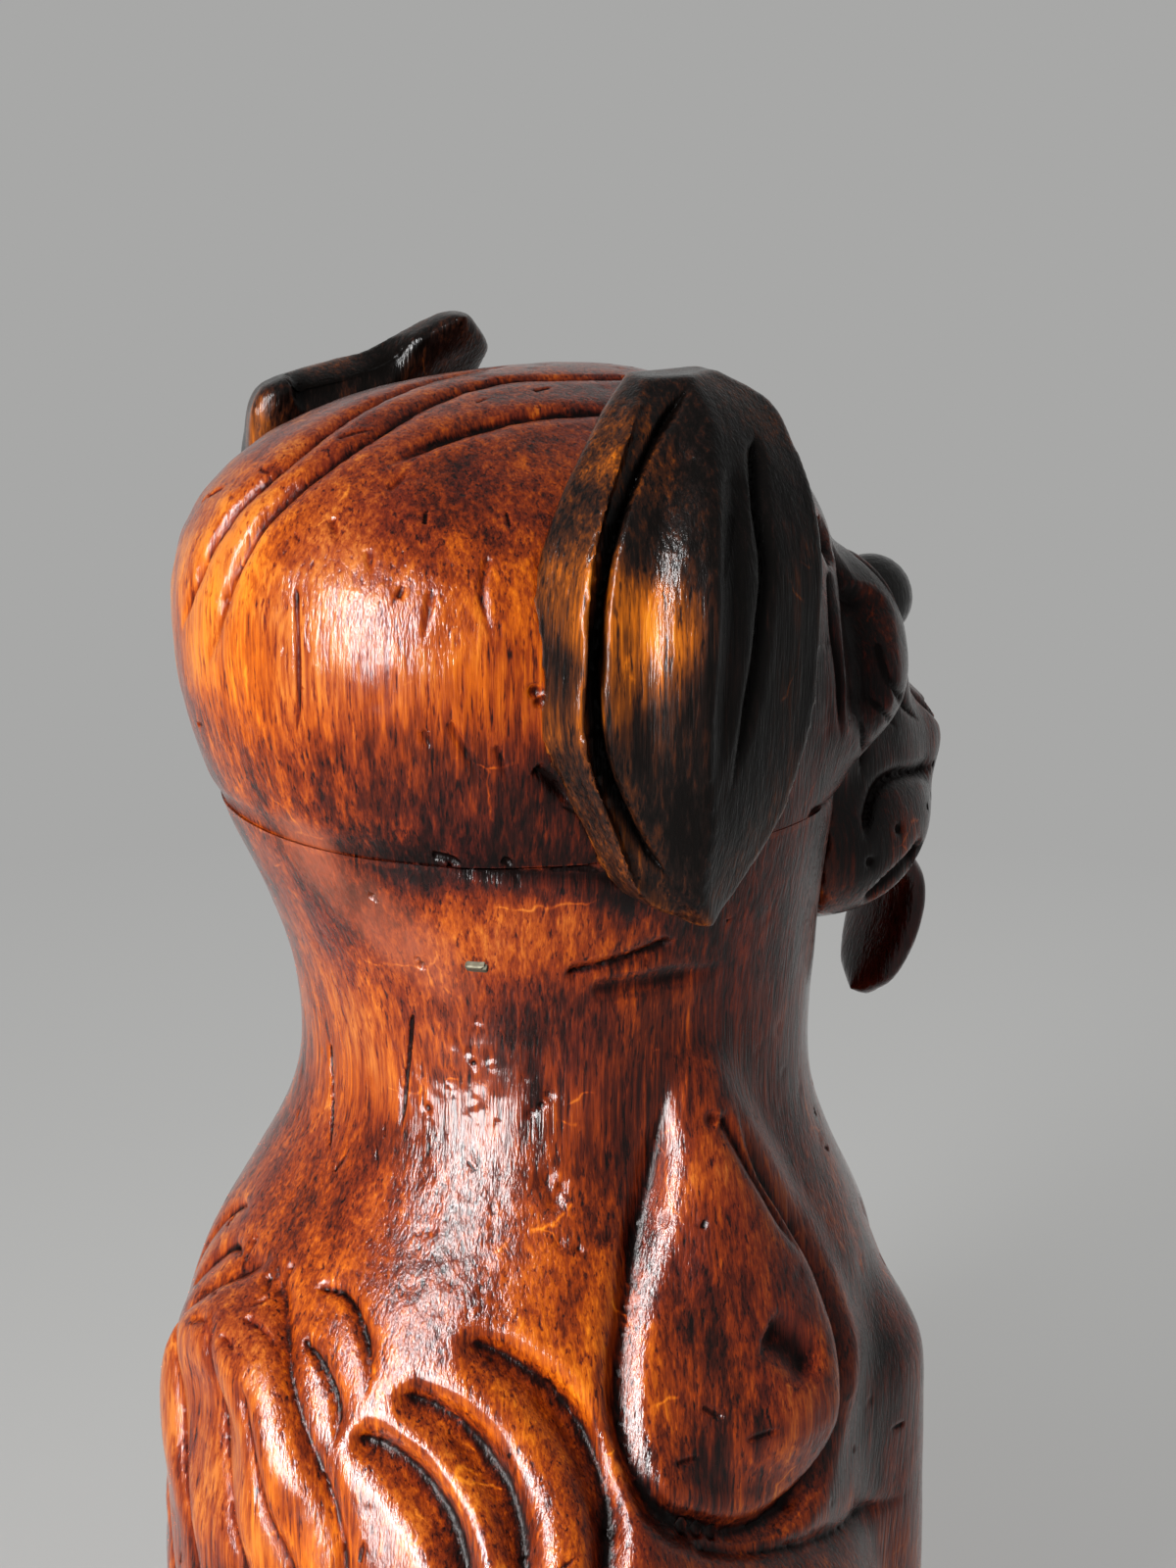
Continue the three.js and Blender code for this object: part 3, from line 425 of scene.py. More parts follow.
EAR_PATCHES = {
    "leaf top": [((720, 450), 7, 0.1), ((690, 545), 5, 0.22)],
    "leaf, worn to the amber": [((672, 640), 5, 0.95), ((650, 690), 4, 0.7)],
    "leaf foot": [((668, 770), 6, 0.3)],
    "vein": [((745, 520), 5, 0.05), ((760, 620), 6, 0.03), ((750, 720), 6, 0.03)],
    "front lobe": [((800, 560), 8, 0.04), ((800, 700), 9, 0.04)],
    "tip": [((735, 820), 6, 0.05), ((700, 880), 5, 0.1)],
    "rim": [((640, 460), 5, 0.66), ((596, 620), 5, 0.85), ((592, 740), 5, 0.55), ((640, 870), 5, 0.4)],
}
LEFT_EAR_PATCHES = {
    "worn corner": [((262, 430), 4, 0.75)],
    "top edge": [((290, 410), 6, 0.08), ((350, 394), 8, 0.06), ((420, 362), 6, 0.12)],
    "end": [((462, 340), 5, 0.1)],
}
# Matt filler over the seam: place, radius and how thick it lies, from 0 to 1
FILLER_PATCHES = {
    "on the seam": [((312, 868), 5, 1), ((335, 900), 5, 1)],
    "run down the neck": [((380, 935), 5, 0.9), ((420, 965), 5, 0.8), ((455, 1000), 4, 0.6)],
}

# Value away from the patches, and its weight beside theirs
BODY_GROUND = (0.5, 0.15)
EAR_GROUND = (0.3, 0.15)
FILLER_GROUND = (0, 0.3)
EYE_GROUND = (0.5, 1)
TONGUE_GROUND = (0.4, 1)


def linear(hex_colour):
    """An sRGB hex colour as linear red, green, blue and alpha."""
    channels = [int(hex_colour[i:i + 2], 16) / 255 for i in (1, 3, 5)]
    return [c / 12.92 if c <= 0.04045 else ((c + 0.055) / 1.055) ** 2.4 for c in channels] + [1]


def add(tree, kind, inputs=(), out=0, **settings):
    """Adds a node and gives one of its outputs, or the node itself where out is None.

    settings are its options, and inputs its sockets' values or what feeds them.
    """
    node = tree.nodes.new(kind)
    for name, value in settings.items():
        setattr(node, name, value)
    for key, value in dict(inputs).items():
        if isinstance(value, bpy.types.NodeSocket):
            tree.links.new(value, node.inputs[key])
        else:
            node.inputs[key].default_value = value
    return node if out is None else node.outputs[out]


def new_object(name, data):
    made = bpy.data.objects.new(name, data)
    bpy.context.collection.objects.link(made)
    return made


# Camera


def outward(bearing, slope=0):
    """The direction that points away from the dog at a bearing from its spine and a slope."""
    turn = math.radians(bearing)
    lift = math.radians(slope)
    level = Vector((-math.sin(turn), math.cos(turn), 0))
    return level * math.cos(lift) + Vector((0, 0, math.sin(lift)))


def photo_camera():
    lens = bpy.data.cameras.new("photo_camera")
    lens.sensor_width = SENSOR_MM
    lens.lens = FOCAL_PIXELS * SENSOR_MM / PHOTO_HEIGHT
    lens.clip_start = NEAR_CLIP
    made = new_object("photo_camera", lens)
    away = outward(VIEW_BEARING, VIEW_SLOPE)
    made.location = VIEW_TARGET + away * VIEW_DISTANCE
    made.rotation_euler = away.to_track_quat("Z", "Y").to_euler()
    bpy.context.scene.camera = made
    bpy.context.view_layer.update()
    return made


camera = photo_camera()


# Skins over the solids


def points_of(mesh):
    points = np.empty(len(mesh.vertices) * 3)
    mesh.vertices.foreach_get("co", points)
    return points.reshape(-1, 3)


def surface_of(made):
    return BVHTree.FromObject(made, bpy.context.evaluated_depsgraph_get())


def settle(made):
    """Turns a piece's modifiers into its plain mesh."""
    depsgraph = bpy.context.evaluated_depsgraph_get()
    evaluated = made.evaluated_get(depsgraph)
    made.data = bpy.data.meshes.new_from_object(
        evaluated, preserve_all_data_layers=True, depsgraph=depsgraph
    )
    made.modifiers.clear()


def ease(mesh, passes, hold, steps=EASE_STEPS):
    """Smooths a mesh, apart from where hold is 1."""
    points = points_of(mesh)
    count = len(points)
    ends = np.empty(len(mesh.edges) * 2, int)
    mesh.edges.foreach_get("vertices", ends)
    first, second = ends.reshape(-1, 2).T
    neighbours = np.bincount(ends, minlength=count)[:, None]
    for step in steps * passes:
        near = [
            np.bincount(first, points[second, axis], count)
            + np.bincount(second, points[first, axis], count)
            for axis in range(3)
        ]
        points += step * (1 - hold[:, None]) * (np.array(near).T / neighbours - points)
    mesh.vertices.foreach_set("co", points.ravel())
    mesh.update()


def solid_of(node):
    """A node's solid as a bmesh, with its loose triangles joined."""
    solid = bmesh.new()
    solid.from_mesh(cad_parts[node].data)
    bmesh.ops.remove_doubles(solid, verts=solid.verts, dist=WELD)
    return solid


def as_object(name, solid):
    """An object from a bmesh, which is used up."""
    mesh = bpy.data.meshes.new(name)
    solid.to_mesh(mesh)
    solid.free()
    return new_object(name, mesh)


def trim(made, operation, low, high):
    """Keeps what lies inside a box, or cuts it away."""
    block = bmesh.new()
    bmesh.ops.create_cube(block, size=1)
    middle = (Vector(low) + Vector(high)) / 2
    size = Vector(high) - Vector(low)
    for vert in block.verts:
        vert.co = middle + vert.co * size
    cutter = as_object("cutter", block)
    modifier = made.modifiers.new("trim", "BOOLEAN")
    modifier.operation = operation
    modifier.solver = "EXACT"
    modifier.object = cutter
    settle(made)
    bpy.data.objects.remove(cutter)


def skin(name, solid, grid, passes, rounding, base=None):
    """A fine even skin over a solid, eased until no facet shows, and held at its base."""
    surface = BVHTree.FromBMesh(solid)
    made = as_object(name, solid)
    made.modifiers.new("skin", "REMESH").voxel_size = grid * MM
    settle(made)
    points = points_of(made.data)
    hold = np.zeros(len(points))
    if base is not None:
        hold = np.clip(2 - 2 * np.abs(points[:, 2] - base) / HELD_BAND, 0, 1)
    for i in np.flatnonzero(hold == 1):
        points[i] = surface.find_nearest(Vector(points[i]))[0]
    made.data.vertices.foreach_set("co", points.ravel())
    ease(made.data, passes, hold)
    ease(made.data, rounding, hold, ROUND_STEPS)
    return made


def across_seat(node, neighbour, low, high, seat, overlap):
    """A node's solid with what a box holds of its neighbour, whose seat is drawn in to overlap."""
    part = as_object("neighbour", solid_of(neighbour))
    trim(part, "INTERSECT", low, high)
    points = points_of(part.data)
    points[np.abs(points[:, 2] - seat) < SEAT_HOLD, 2] += overlap
    part.data.vertices.foreach_set("co", points.ravel())
    solid = solid_of(node)
    solid.from_mesh(part.data)
    bpy.data.objects.remove(part)
    return solid


def body_surface(*pieces):
    """Several pieces' skins as one surface."""
    solid = bmesh.new()
    for piece in pieces:
        solid.from_mesh(piece.data)
    surface = BVHTree.FromBMesh(solid)
    solid.free()
    return surface


# Placing the cuts


def photo_ray(x, y):
    in_camera = Vector((x - PHOTO_WIDTH / 2, PHOTO_HEIGHT / 2 - y, -FOCAL_PIXELS))
    return camera.location, camera.matrix_world.to_3x3() @ in_camera.normalized()


def round_ray(bearing, height):
    away = outward(bearing)
    return Vector((0, 0, height * MM)) + away * CAST_REACH, -away


def crown_ray(bearing, slope):
    away = outward(bearing, slope)
    return HEAD_MIDDLE + away * CAST_REACH, -away


def front_ray(x, height):
    return Vector((x * MM, -CAST_REACH, height * MM)), Vector((0, 1, 0))


VIEWS = {"photo": photo_ray, "round": round_ray, "crown": crown_ray, "front": front_ray}


def cast(surface, view, place):
    """The point of a surface that a view shows at a place, or None."""
    return surface.ray_cast(*VIEWS[view](*place))[0]


def pare(solid, start, end):
    """Cuts off what lies beyond a line between two pixels of the photograph."""
    plane = photo_ray(*start)[1].cross(photo_ray(*end)[1])
    if plane.dot(VIEW_TARGET - camera.location) > 0:
        plane.negate()
    whole = [*solid.verts, *solid.edges, *solid.faces]
    bmesh.ops.bisect_plane(solid, geom=whole, plane_co=camera.location, plane_no=plane, clear_outer=True)
    bmesh.ops.holes_fill(solid, edges=[edge for edge in solid.edges if edge.is_boundary])


def opposite(surface, points):
    """Points mirrored to the dog's other side, without those that miss the wood there."""
    found = [surface.find_nearest(Vector((-p.x, p.y, p.z)), TWIN_REACH)[0] for p in points]
    return [point for point in found if point]


def smooth_line(corners, step):
    """Places at about that step along a smooth curve through the corners."""
    ends = [2 * corners[0] - corners[1], *corners, 2 * corners[-1] - corners[-2]]
    line = []
    for a, b, c, d in zip(ends, ends[1:], ends[2:], ends[3:]):
        count = max(2, round((c - b).length / step))
        for i in range(count):
            t = i / count
            bend = 2 * a - 5 * b + 4 * c - d + t * (3 * (b - c) + d - a)
            line.append(b + 0.5 * t * (c - a + t * bend))
    return [*line, corners[-1]]


def along(cut, surface):
    """A cut's points on a surface."""
    places = smooth_line([Vector(corner) for corner in cut.corners], CUT_STEPS[cut.view])
    found = [cast(surface, cut.view, place) for place in places]
    return [point for point in found if point]


class Bites:
    """Where the tools bite into one piece: points, each with its section, numbered by stroke."""

    def __init__(self):
        self.points = []
        self.sections = []  # half width, depth, bottom, lip and stroke
        self.strokes = 1  # stroke 0 is shared by the pits and nicks

    def pit(self, point, radius, depth):
        self.points.append(point)
        self.sections.append((radius * MM, depth * MM, *WORN, 0))

    def stroke(self, points, cut):
        """One long pull of the tool."""
        self.pull(points, cut, self.strokes)
        self.strokes += 1

    def pull(self, points, cut, number):
        """The tool deepens quickly and runs out slowly."""
        for i, point in enumerate(points):
            share = i / max(len(points) - 1, 1)
            full = min(share / CUT_RISE_SHARE, (1 - share) / cut.fade, 1)
            ease_in = full * full * (3 - 2 * full)
            half_width = cut.half_width * (CUT_END_WIDTH + (1 - CUT_END_WIDTH) * ease_in)
            self.points.append(point)
            self.sections.append((half_width * MM, cut.depth * ease_in * MM, *cut.tool, number))

    def as_object(self):
        mesh = bpy.data.meshes.new("bites")
        mesh.from_pydata(self.points, [], [])
        for name, values in zip(("half_width", "depth", "bottom", "lip", "stroke"), zip(*self.sections)):
            mesh.attributes.new(name, "FLOAT", "POINT").data.foreach_set("value", values)
        return new_object("bites", mesh)


def refine(made, bites):
    """Makes a skin finer along the cuts, twice along the narrow ones."""
    half_widths = [section[0] for section in bites.sections]
    for widest in (math.inf, NARROW_CUT):
        chosen = [i for i, half_width in enumerate(half_widths) if half_width < widest]
        tree = KDTree(len(chosen))
        for i in chosen:
            tree.insert(bites.points[i], i)
        tree.balance()
        fine = bmesh.new()
        fine.from_mesh(made.data)
        near = []
        for edge in fine.edges:
            middle = (edge.verts[0].co + edge.verts[1].co) / 2
            _, i, distance = tree.find(middle)
            if distance < min(half_widths[i] * FINE_SHARE, FINE_REACH) + edge.calc_length() / 2:
                near.append(edge)
        bmesh.ops.subdivide_edges(fine, edges=near, cuts=1, use_grid_fill=True)
        fine.to_mesh(made.data)
        fine.free()


# Carving


def carving_nodes():
    """Geometry nodes that carve a skin: every stroke of the tools, then the hand-scraped unevenness.

    They store carve, the depth cut away, pool, how steep and deep the cut is, which darkens the colour
    and thins the coat, and hollow, how far a point lies below its surroundings.
    """
    tree = bpy.data.node_groups.new("carving", "GeometryNodeTree")
    sockets = {
        "Skin": "Geometry", "Bites": "Object", "Strokes": "Int", "Scrape Width": "Float",
        "Scrape Length": "Float", "Scrape Depth": "Float", "Hollow Steps": "Int", "Seed": "Float",
        "Finish": "Material",
    }
    for name, kind in sockets.items():
        tree.interface.new_socket(name, in_out="INPUT", socket_type="NodeSocket" + kind)
    tree.interface.new_socket("Carving", in_out="OUTPUT", socket_type="NodeSocketGeometry")
    given = add(tree, "NodeGroupInput", out=None).outputs
    place = add(tree, "GeometryNodeInputPosition")
    normal = add(tree, "GeometryNodeInputNormal")
    bites = add(tree, "GeometryNodeObjectInfo", {"Object": given["Bites"]}, out="Geometry")
    carve = add(tree, "GeometryNodeInputNamedAttribute", {"Name": "carve"})
    pool = add(tree, "GeometryNodeInputNamedAttribute", {"Name": "pool"})

    first = add(tree, "GeometryNodeRepeatInput", out=None)
    last = add(tree, "GeometryNodeRepeatOutput", out=None)
    first.pair_with_output(last)
    tree.links.new(given["Strokes"], first.inputs["Iterations"])
    start = add(tree, "GeometryNodeStoreNamedAttribute", {"Geometry": given["Skin"], "Name": "carve"})
    start = add(tree, "GeometryNodeStoreNamedAttribute", {"Geometry": start, "Name": "pool"})
    tree.links.new(start, first.inputs["Geometry"])

    number = add(tree, "GeometryNodeInputNamedAttribute", {"Name": "stroke"})
    chosen = add(
        tree, "FunctionNodeCompare",
        {0: number, 1: first.outputs["Iteration"], "Epsilon": 0.5}, operation="EQUAL",
    )
    stroke = add(tree, "GeometryNodeSeparateGeometry", {"Geometry": bites, "Selection": chosen})
    nearest = add(tree, "GeometryNodeSampleNearest", {"Geometry": stroke})
    middle = add(
        tree, "GeometryNodeSampleIndex",
        {"Geometry": stroke, 1: place, "Index": nearest}, data_type="FLOAT_VECTOR",
    )
    section = {}
    for name in ("half_width", "depth", "bottom", "lip"):
        stored = add(tree, "GeometryNodeInputNamedAttribute", {"Name": name})
        section[name] = add(
            tree, "GeometryNodeSampleIndex", {"Geometry": stroke, 1: stored, "Index": nearest}
        )
    off = add(tree, "ShaderNodeVectorMath", {0: place, 1: middle}, out="Value", operation="DISTANCE")
    share = add(
        tree, "ShaderNodeMath", {0: off, 1: section["half_width"]}, operation="DIVIDE", use_clamp=True
    )
    rising = add(tree, "ShaderNodeMath", {0: share, 1: section["bottom"]}, operation="POWER")
    open_share = add(tree, "ShaderNodeMath", {0: 1.0, 1: rising}, operation="SUBTRACT")
    shape = add(tree, "ShaderNodeMath", {0: open_share, 1: section["lip"]}, operation="POWER")
    depth = add(tree, "ShaderNodeMath", {0: shape, 1: section["depth"]}, operation="MULTIPLY")
    deepest = add(tree, "ShaderNodeMath", {0: carve, 1: depth}, operation="MAXIMUM")
    kept = add(
        tree, "GeometryNodeStoreNamedAttribute",
        {"Geometry": first.outputs["Geometry"], "Name": "carve", "Value": deepest},
    )
    steep = add(tree, "ShaderNodeMath", {0: depth, 1: section["half_width"]}, operation="DIVIDE")
    steepest = add(tree, "ShaderNodeMath", {0: pool, 1: steep}, operation="MAXIMUM")
    kept = add(
        tree, "GeometryNodeStoreNamedAttribute", {"Geometry": kept, "Name": "pool", "Value": steepest}
    )
    tree.links.new(kept, last.inputs["Geometry"])

    across = add(tree, "ShaderNodeMath", {0: 1.0, 1: given["Scrape Width"]}, operation="DIVIDE")
    down = add(tree, "ShaderNodeMath", {0: 1.0, 1: given["Scrape Length"]}, operation="DIVIDE")
    stretch = add(tree, "ShaderNodeCombineXYZ", {"X": across, "Y": across, "Z": down})
    grain_place = add(tree, "ShaderNodeVectorMath", {0: place, 1: stretch}, operation="MULTIPLY")
    scrape = add(
        tree, "ShaderNodeTexNoise",
        {"Vector": grain_place, "W": given["Seed"], "Scale": 1.0, "Detail": 2.0}, noise_dimensions="4D",
    )
    centred = add(tree, "ShaderNodeMath", {0: scrape, 1: 0.5}, operation="SUBTRACT")
    uneven = add(tree, "ShaderNodeMath", {0: centred, 1: given["Scrape Depth"]}, operation="MULTIPLY")
    rise = add(tree, "ShaderNodeMath", {0: uneven, 1: carve}, operation="SUBTRACT")
    offset = add(tree, "ShaderNodeVectorMath", {0: normal, "Scale": rise}, operation="SCALE")
    carved = add(
        tree, "GeometryNodeSetPosition", {"Geometry": last.outputs["Geometry"], "Offset": offset}
    )

    around = add(
        tree, "GeometryNodeBlurAttribute",
        {"Value": place, "Iterations": given["Hollow Steps"]}, data_type="FLOAT_VECTOR",
    )
    lift = add(tree, "ShaderNodeVectorMath", {0: around, 1: place}, operation="SUBTRACT")
    hollow = add(tree, "ShaderNodeVectorMath", {0: lift, 1: normal}, out="Value", operation="DOT_PRODUCT")
    marked = add(
        tree, "GeometryNodeStoreNamedAttribute", {"Geometry": carved, "Name": "hollow", "Value": hollow}
    )
    whole = add(tree, "GeometryNodeRealizeInstances", {"Geometry": marked})
    finished = add(tree, "GeometryNodeSetMaterial", {"Geometry": whole, "Material": given["Finish"]})
    add(tree, "NodeGroupOutput", {"Carving": finished}, out=None)
    return tree


carving = carving_nodes()


def carve(made, bites, finish, scrape):
    """Carves a skin, gives it its finish and keeps it inside the solids' box."""
    refine(made, bites)
    at_seat = np.abs(points_of(made.data)[:, 2] - SEAT_HEIGHT - SEAT_GAP / 2) < SEAT_HOLD
    ease(made.data, SETTLE_PASSES, at_seat.astype(float))
    tools = bites.as_object()
    values = {
        "Bites": tools, "Strokes": bites.strokes, "Scrape Width": scrape.width * MM,
        "Scrape Length": scrape.length * MM, "Scrape Depth": scrape.depth * MM,
        "Hollow Steps": scrape.hollow_steps, "Seed": float(SEED), "Finish": finish,
    }
    modifier = made.modifiers.new("carving", "NODES")
    modifier.node_group = carving
    for socket in carving.interface.items_tree:
        if socket.in_out == "INPUT" and socket.name in values:
            modifier[socket.identifier] = values[socket.name]
    settle(made)
    bpy.data.objects.remove(tools)
    points = np.clip(points_of(made.data), *np.array(cad_box))
    made.data.vertices.foreach_set("co", points.ravel())
    made.data.shade_smooth()
    made.data.set_sharp_from_angle(angle=math.radians(CREASE_ANGLE))


def spots_on(surface, view, areas, twins=False):
    """Where areas' patches lie on a surface, and on the dog's other side, with their radii and tones."""
    spots = []
    for place, radius, tone in itertools.chain(*areas.values()):
        x, y, z = cast(surface, view, place)
        for side in (1, -1) if twins else (1,):
            spots.append(((side * x, y, z), radius * MM, tone))
    return spots


def spread(made, attribute, spots, ground, ground_weight):
    """Stores an attribute that runs from spot to spot, and to the ground's value away from them."""
    points = points_of(made.data)
    weight = np.full(len(points), ground_weight)
    value = weight * ground
    for place, radius, tone in spots:
        near = np.exp(-(np.linalg.norm(points - place, axis=1) / radius) ** 2)
        weight += near
        value += near * tone
    made.data.attributes.new(attribute, "FLOAT", "POINT").data.foreach_set("value", value / weight)


# Materials


# Stains, dark to light, and the redder one that lies over them in clouds
AMBER_STAIN = [
    (0.0, "#0d0403"), (0.18, "#270b06"), (0.36, "#541a07"),
    (0.55, "#8c3407"), (0.75, "#c25a08"), (1.0, "#f08a1a"),
]
MAHOGANY_STAIN = [
    (0.0, "#0c0404"), (0.18, "#240a08"), (0.36, "#4a160d"),
    (0.55, "#74260f"), (0.75, "#9e4416"), (1.0, "#c8702c"),
]
BLACK_STAIN = [
    (0.0, "#070403"), (0.18, "#150c09"), (0.36, "#3a1c0d"),
    (0.55, "#6e360d"), (0.75, "#b35c0d"), (1.0, "#e08a20"),
]
EBONY_STAIN = [
    (0.0, "#060403"), (0.18, "#120b0a"), (0.36, "#2c1610"),
    (0.55, "#542a14"), (0.75, "#8a4a18"), (1.0, "#b87024"),
]
TONGUE_STAIN = [
    (0.0, "#070201"), (0.25, "#1c0604"), (0.5, "#3a0d08"), (0.75, "#55150b"), (1.0, "#742410"),
]
LACQUER_BLACK = [(0.0, "#050404"), (0.5, "#0b0807"), (1.0, "#1f1210")]
FILLER_COLOUR = "#a2583f"

# Grain patterns: width across the grain and length along it in mm, noise detail, and shift of the tone
GRAIN = {
    "blotch": (26, 50, 4, 0.14),
    "cloud": (8, 17, 6, 0.17),
    "ribbon": (2.4, 28, 3, 0.11),
    "streak": (0.8, 20, 3, 0.15),
    "fibre": (0.4, 6, 2, 0.09),
}
FLECK_WIDTH = 0.6  # mm; real pores are about 0.2 mm wide, too fine to show
FLECK_LENGTH = 6
FLECK_SHIFT = 0.36
FLECK_OFFSET = (3.1, 7.7, 1.3)  # so that pores don't follow the fibres
GRAIN_ROUGHNESS = 0.6
FLECK_ROUGHNESS = 0.65
CRAZE_SIZE = 16 * MM  # between the fine cracks of the old lacquer
CRAZE_WIDTH = 0.014  # of a crack, as a share of that: 0.2 mm, as real ones are too fine to show
CRAZE_WANDER = 0.35  # how far the cracks leave straight lines
CRAZE_SHIFT = 0.3
RELIEF_DEPTH = 0.22 * MM  # of the open grain
RELIEF_STRENGTH = 0.4
COAT_ROUGHNESS = 0.09
UNDERCOAT_SPECULAR = 0.05  # stained wood under lacquer hardly shines by itself
# Below real lacquer's 1.5, so that the pale room doesn't grey the dark wood
WOOD_COAT_IOR = 1.28
EAR_COAT_IOR = 1.22
GLOSS_COAT_IOR = 1.33

BEECH_RAY_SIZE = Vector((0.8, 0.8, 4)) * MM
BEECH_ROUGHNESS = 0.7
NAIL_STAIN_SIZE = 0.9 * MM
NAIL_PIT_DEPTH = 0.15 * MM
NAIL_BEVEL = 0.35 * MM


def new_material(name):
    """A material with its node tree, its shader and the place on the object."""
    material = bpy.data.materials.new(name)
    material.use_nodes = True
    tree = material.node_tree
    place = add(tree, "ShaderNodeTexCoord", out="Object")
    return material, tree, tree.nodes["Principled BSDF"], place


def stained_hardwood(name, stain, red_stain, coat_ior):
    """Close-grained hardwood, hand carved, stained and lacquered.

    It shows vertical streaks and dark pores in a patchy stain, darkened in places as painted shade, that
    turns near-black in steep cuts and hollows and wears off the edges, under a gloss coat that follows
    the grain.
    """
    material, tree, shader, place = new_material(name)
    stored = {}
    for attribute in ("tone", "pool", "hollow", "filler"):
        stored[attribute] = add(tree, "ShaderNodeAttribute", out="Fac", attribute_name=attribute)
    pattern = {}
    ranges = {}
    for layer, (width, length, detail, shift) in GRAIN.items():
        size = (1 / (width * MM), 1 / (width * MM), 1 / (length * MM))
        scaled = add(tree, "ShaderNodeMapping", {"Vector": place, "Scale": size})
        pattern[layer] = add(
            tree, "ShaderNodeTexNoise",
            {"Vector": scaled, "Scale": 1.0, "Detail": detail, "Roughness": GRAIN_ROUGHNESS},
        )
        ranges[layer] = (pattern[layer], 0.3, 0.7, -shift, shift)
    size = (1 / (FLECK_WIDTH * MM), 1 / (FLECK_WIDTH * MM), 1 / (FLECK_LENGTH * MM))
    pore_place = add(
        tree, "ShaderNodeMapping", {"Vector": place, "Scale": size, "Location": FLECK_OFFSET}
    )
    pores = add(
        tree, "ShaderNodeTexNoise",
        {"Vector": pore_place, "Scale": 1.0, "Detail": 3.0, "Roughness": FLECK_ROUGHNESS},
    )
    place_in_cells = add(
        tree, "ShaderNodeVectorMath", {0: place, "Scale": 1 / CRAZE_SIZE}, operation="SCALE"
    )
    warp = add(
        tree, "ShaderNodeTexNoise", {"Vector": place_in_cells, "Scale": 2.0, "Detail": 3.0}, out="Color"
    )
    wander = add(
        tree, "ShaderNodeMix",
        {"Factor": CRAZE_WANDER, 4: place_in_cells, 5: warp}, out=1, data_type="VECTOR",
    )
    cracks = add(
        tree, "ShaderNodeTexVoronoi",
        {"Vector": wander, "Scale": 1.0}, out="Distance", feature="DISTANCE_TO_EDGE",
    )
    off_crack = add(tree, "ShaderNodeMapRange", {"Value": cracks, "From Max": CRAZE_WIDTH})
    patchy = add(tree, "ShaderNodeMath", {0: stored["filler"], 1: pattern["cloud"]}, operation="MULTIPLY")
    ranges |= {
        "pores": (pores, 0.56, 0.7, 0.0, -FLECK_SHIFT),
        # darker in steep, deep cuts and where the surface lies below its surroundings
        "pooled": (stored["pool"], 0.2, 0.6, 0.0, -0.5),
        "sunk": (stored["hollow"], 0.25 * MM, 0.9 * MM, 0.0, -0.35),
        "worn": (stored["hollow"], -0.08 * MM, -0.4 * MM, 0.0, 0.14),
        "crazed": (pattern["cloud"], 0.55, 0.62, 0.0, CRAZE_SHIFT),
        "clouded": (pattern["blotch"], 0.42, 0.6, 0.0, 1.0),
        "filled": (patchy, 0.14, 0.46, 0.0, 0.62),
        "rough": (pattern["cloud"], 0.35, 0.7, 0.24, 0.44),
        "coat_on_walls": (stored["pool"], 0.1, 0.35, 1.0, 0.1),
        "coat_in_hollows": (stored["hollow"], 0.25 * MM, 0.6 * MM, 1.0, 0.1),
        "coat_over_stain": (stored["tone"], 0.0, 0.25, 0.45, 1.0),
    }
    share = {}
    for use, (value, low, high, least, most) in ranges.items():
        share[use] = add(
            tree, "ShaderNodeMapRange",
            {"Value": value, "From Min": low, "From Max": high, "To Min": least, "To Max": most},
        )
    on_crack = add(tree, "ShaderNodeMath", {0: 1.0, 1: off_crack}, operation="SUBTRACT")
    share["crazed"] = add(
        tree, "ShaderNodeMath", {0: on_crack, 1: share["crazed"]}, operation="MULTIPLY"
    )
    tone = stored["tone"]
    for use in (*GRAIN, "pores", "pooled", "sunk", "worn", "crazed"):
        tone = add(tree, "ShaderNodeMath", {0: tone, 1: share[use]}, operation="ADD")
    shades = []
    for stops in (stain, red_stain):
        ramp = add(tree, "ShaderNodeValToRGB", {"Fac": tone}, out=None)
        while len(ramp.color_ramp.elements) < len(stops):
            ramp.color_ramp.elements.new(0.5)
        for element, (position, colour) in zip(ramp.color_ramp.elements, stops):
            element.position = position
            element.color = linear(colour)
        shades.append(ramp.outputs["Color"])
    colour = add(
        tree, "ShaderNodeMix",
        {"Factor": share["clouded"], 6: shades[0], 7: shades[1]}, out=2, data_type="RGBA",
    )
    colour = add(
        tree, "ShaderNodeMix",
        {"Factor": share["filled"], 6: colour, 7: linear(FILLER_COLOUR)}, out=2, data_type="RGBA",
    )
    tree.links.new(colour, shader.inputs["Base Color"])
    tree.links.new(share["rough"], shader.inputs["Roughness"])
    relief = add(tree, "ShaderNodeMath", {0: pattern["fibre"], 1: pattern["streak"]}, operation="ADD")
    relief = add(tree, "ShaderNodeMath", {0: relief, 1: pores}, operation="SUBTRACT")
    bump = add(
        tree, "ShaderNodeBump", {"Height": relief, "Strength": RELIEF_STRENGTH, "Distance": RELIEF_DEPTH}
    )
    tree.links.new(bump, shader.inputs["Normal"])
    tree.links.new(bump, shader.inputs["Coat Normal"])
    shader.inputs["Specular IOR Level"].default_value = UNDERCOAT_SPECULAR
    off_cuts = add(
        tree, "ShaderNodeMath",
        {0: share["coat_on_walls"], 1: share["coat_in_hollows"]}, operation="MINIMUM",
    )
    lacquer = add(
        tree, "ShaderNodeMath", {0: off_cuts, 1: share["coat_over_stain"]}, operation="MULTIPLY"
    )
    tree.links.new(lacquer, shader.inputs["Coat Weight"])
    shader.inputs["Coat Roughness"].default_value = COAT_ROUGHNESS
    shader.inputs["Coat IOR"].default_value = coat_ior
    return material


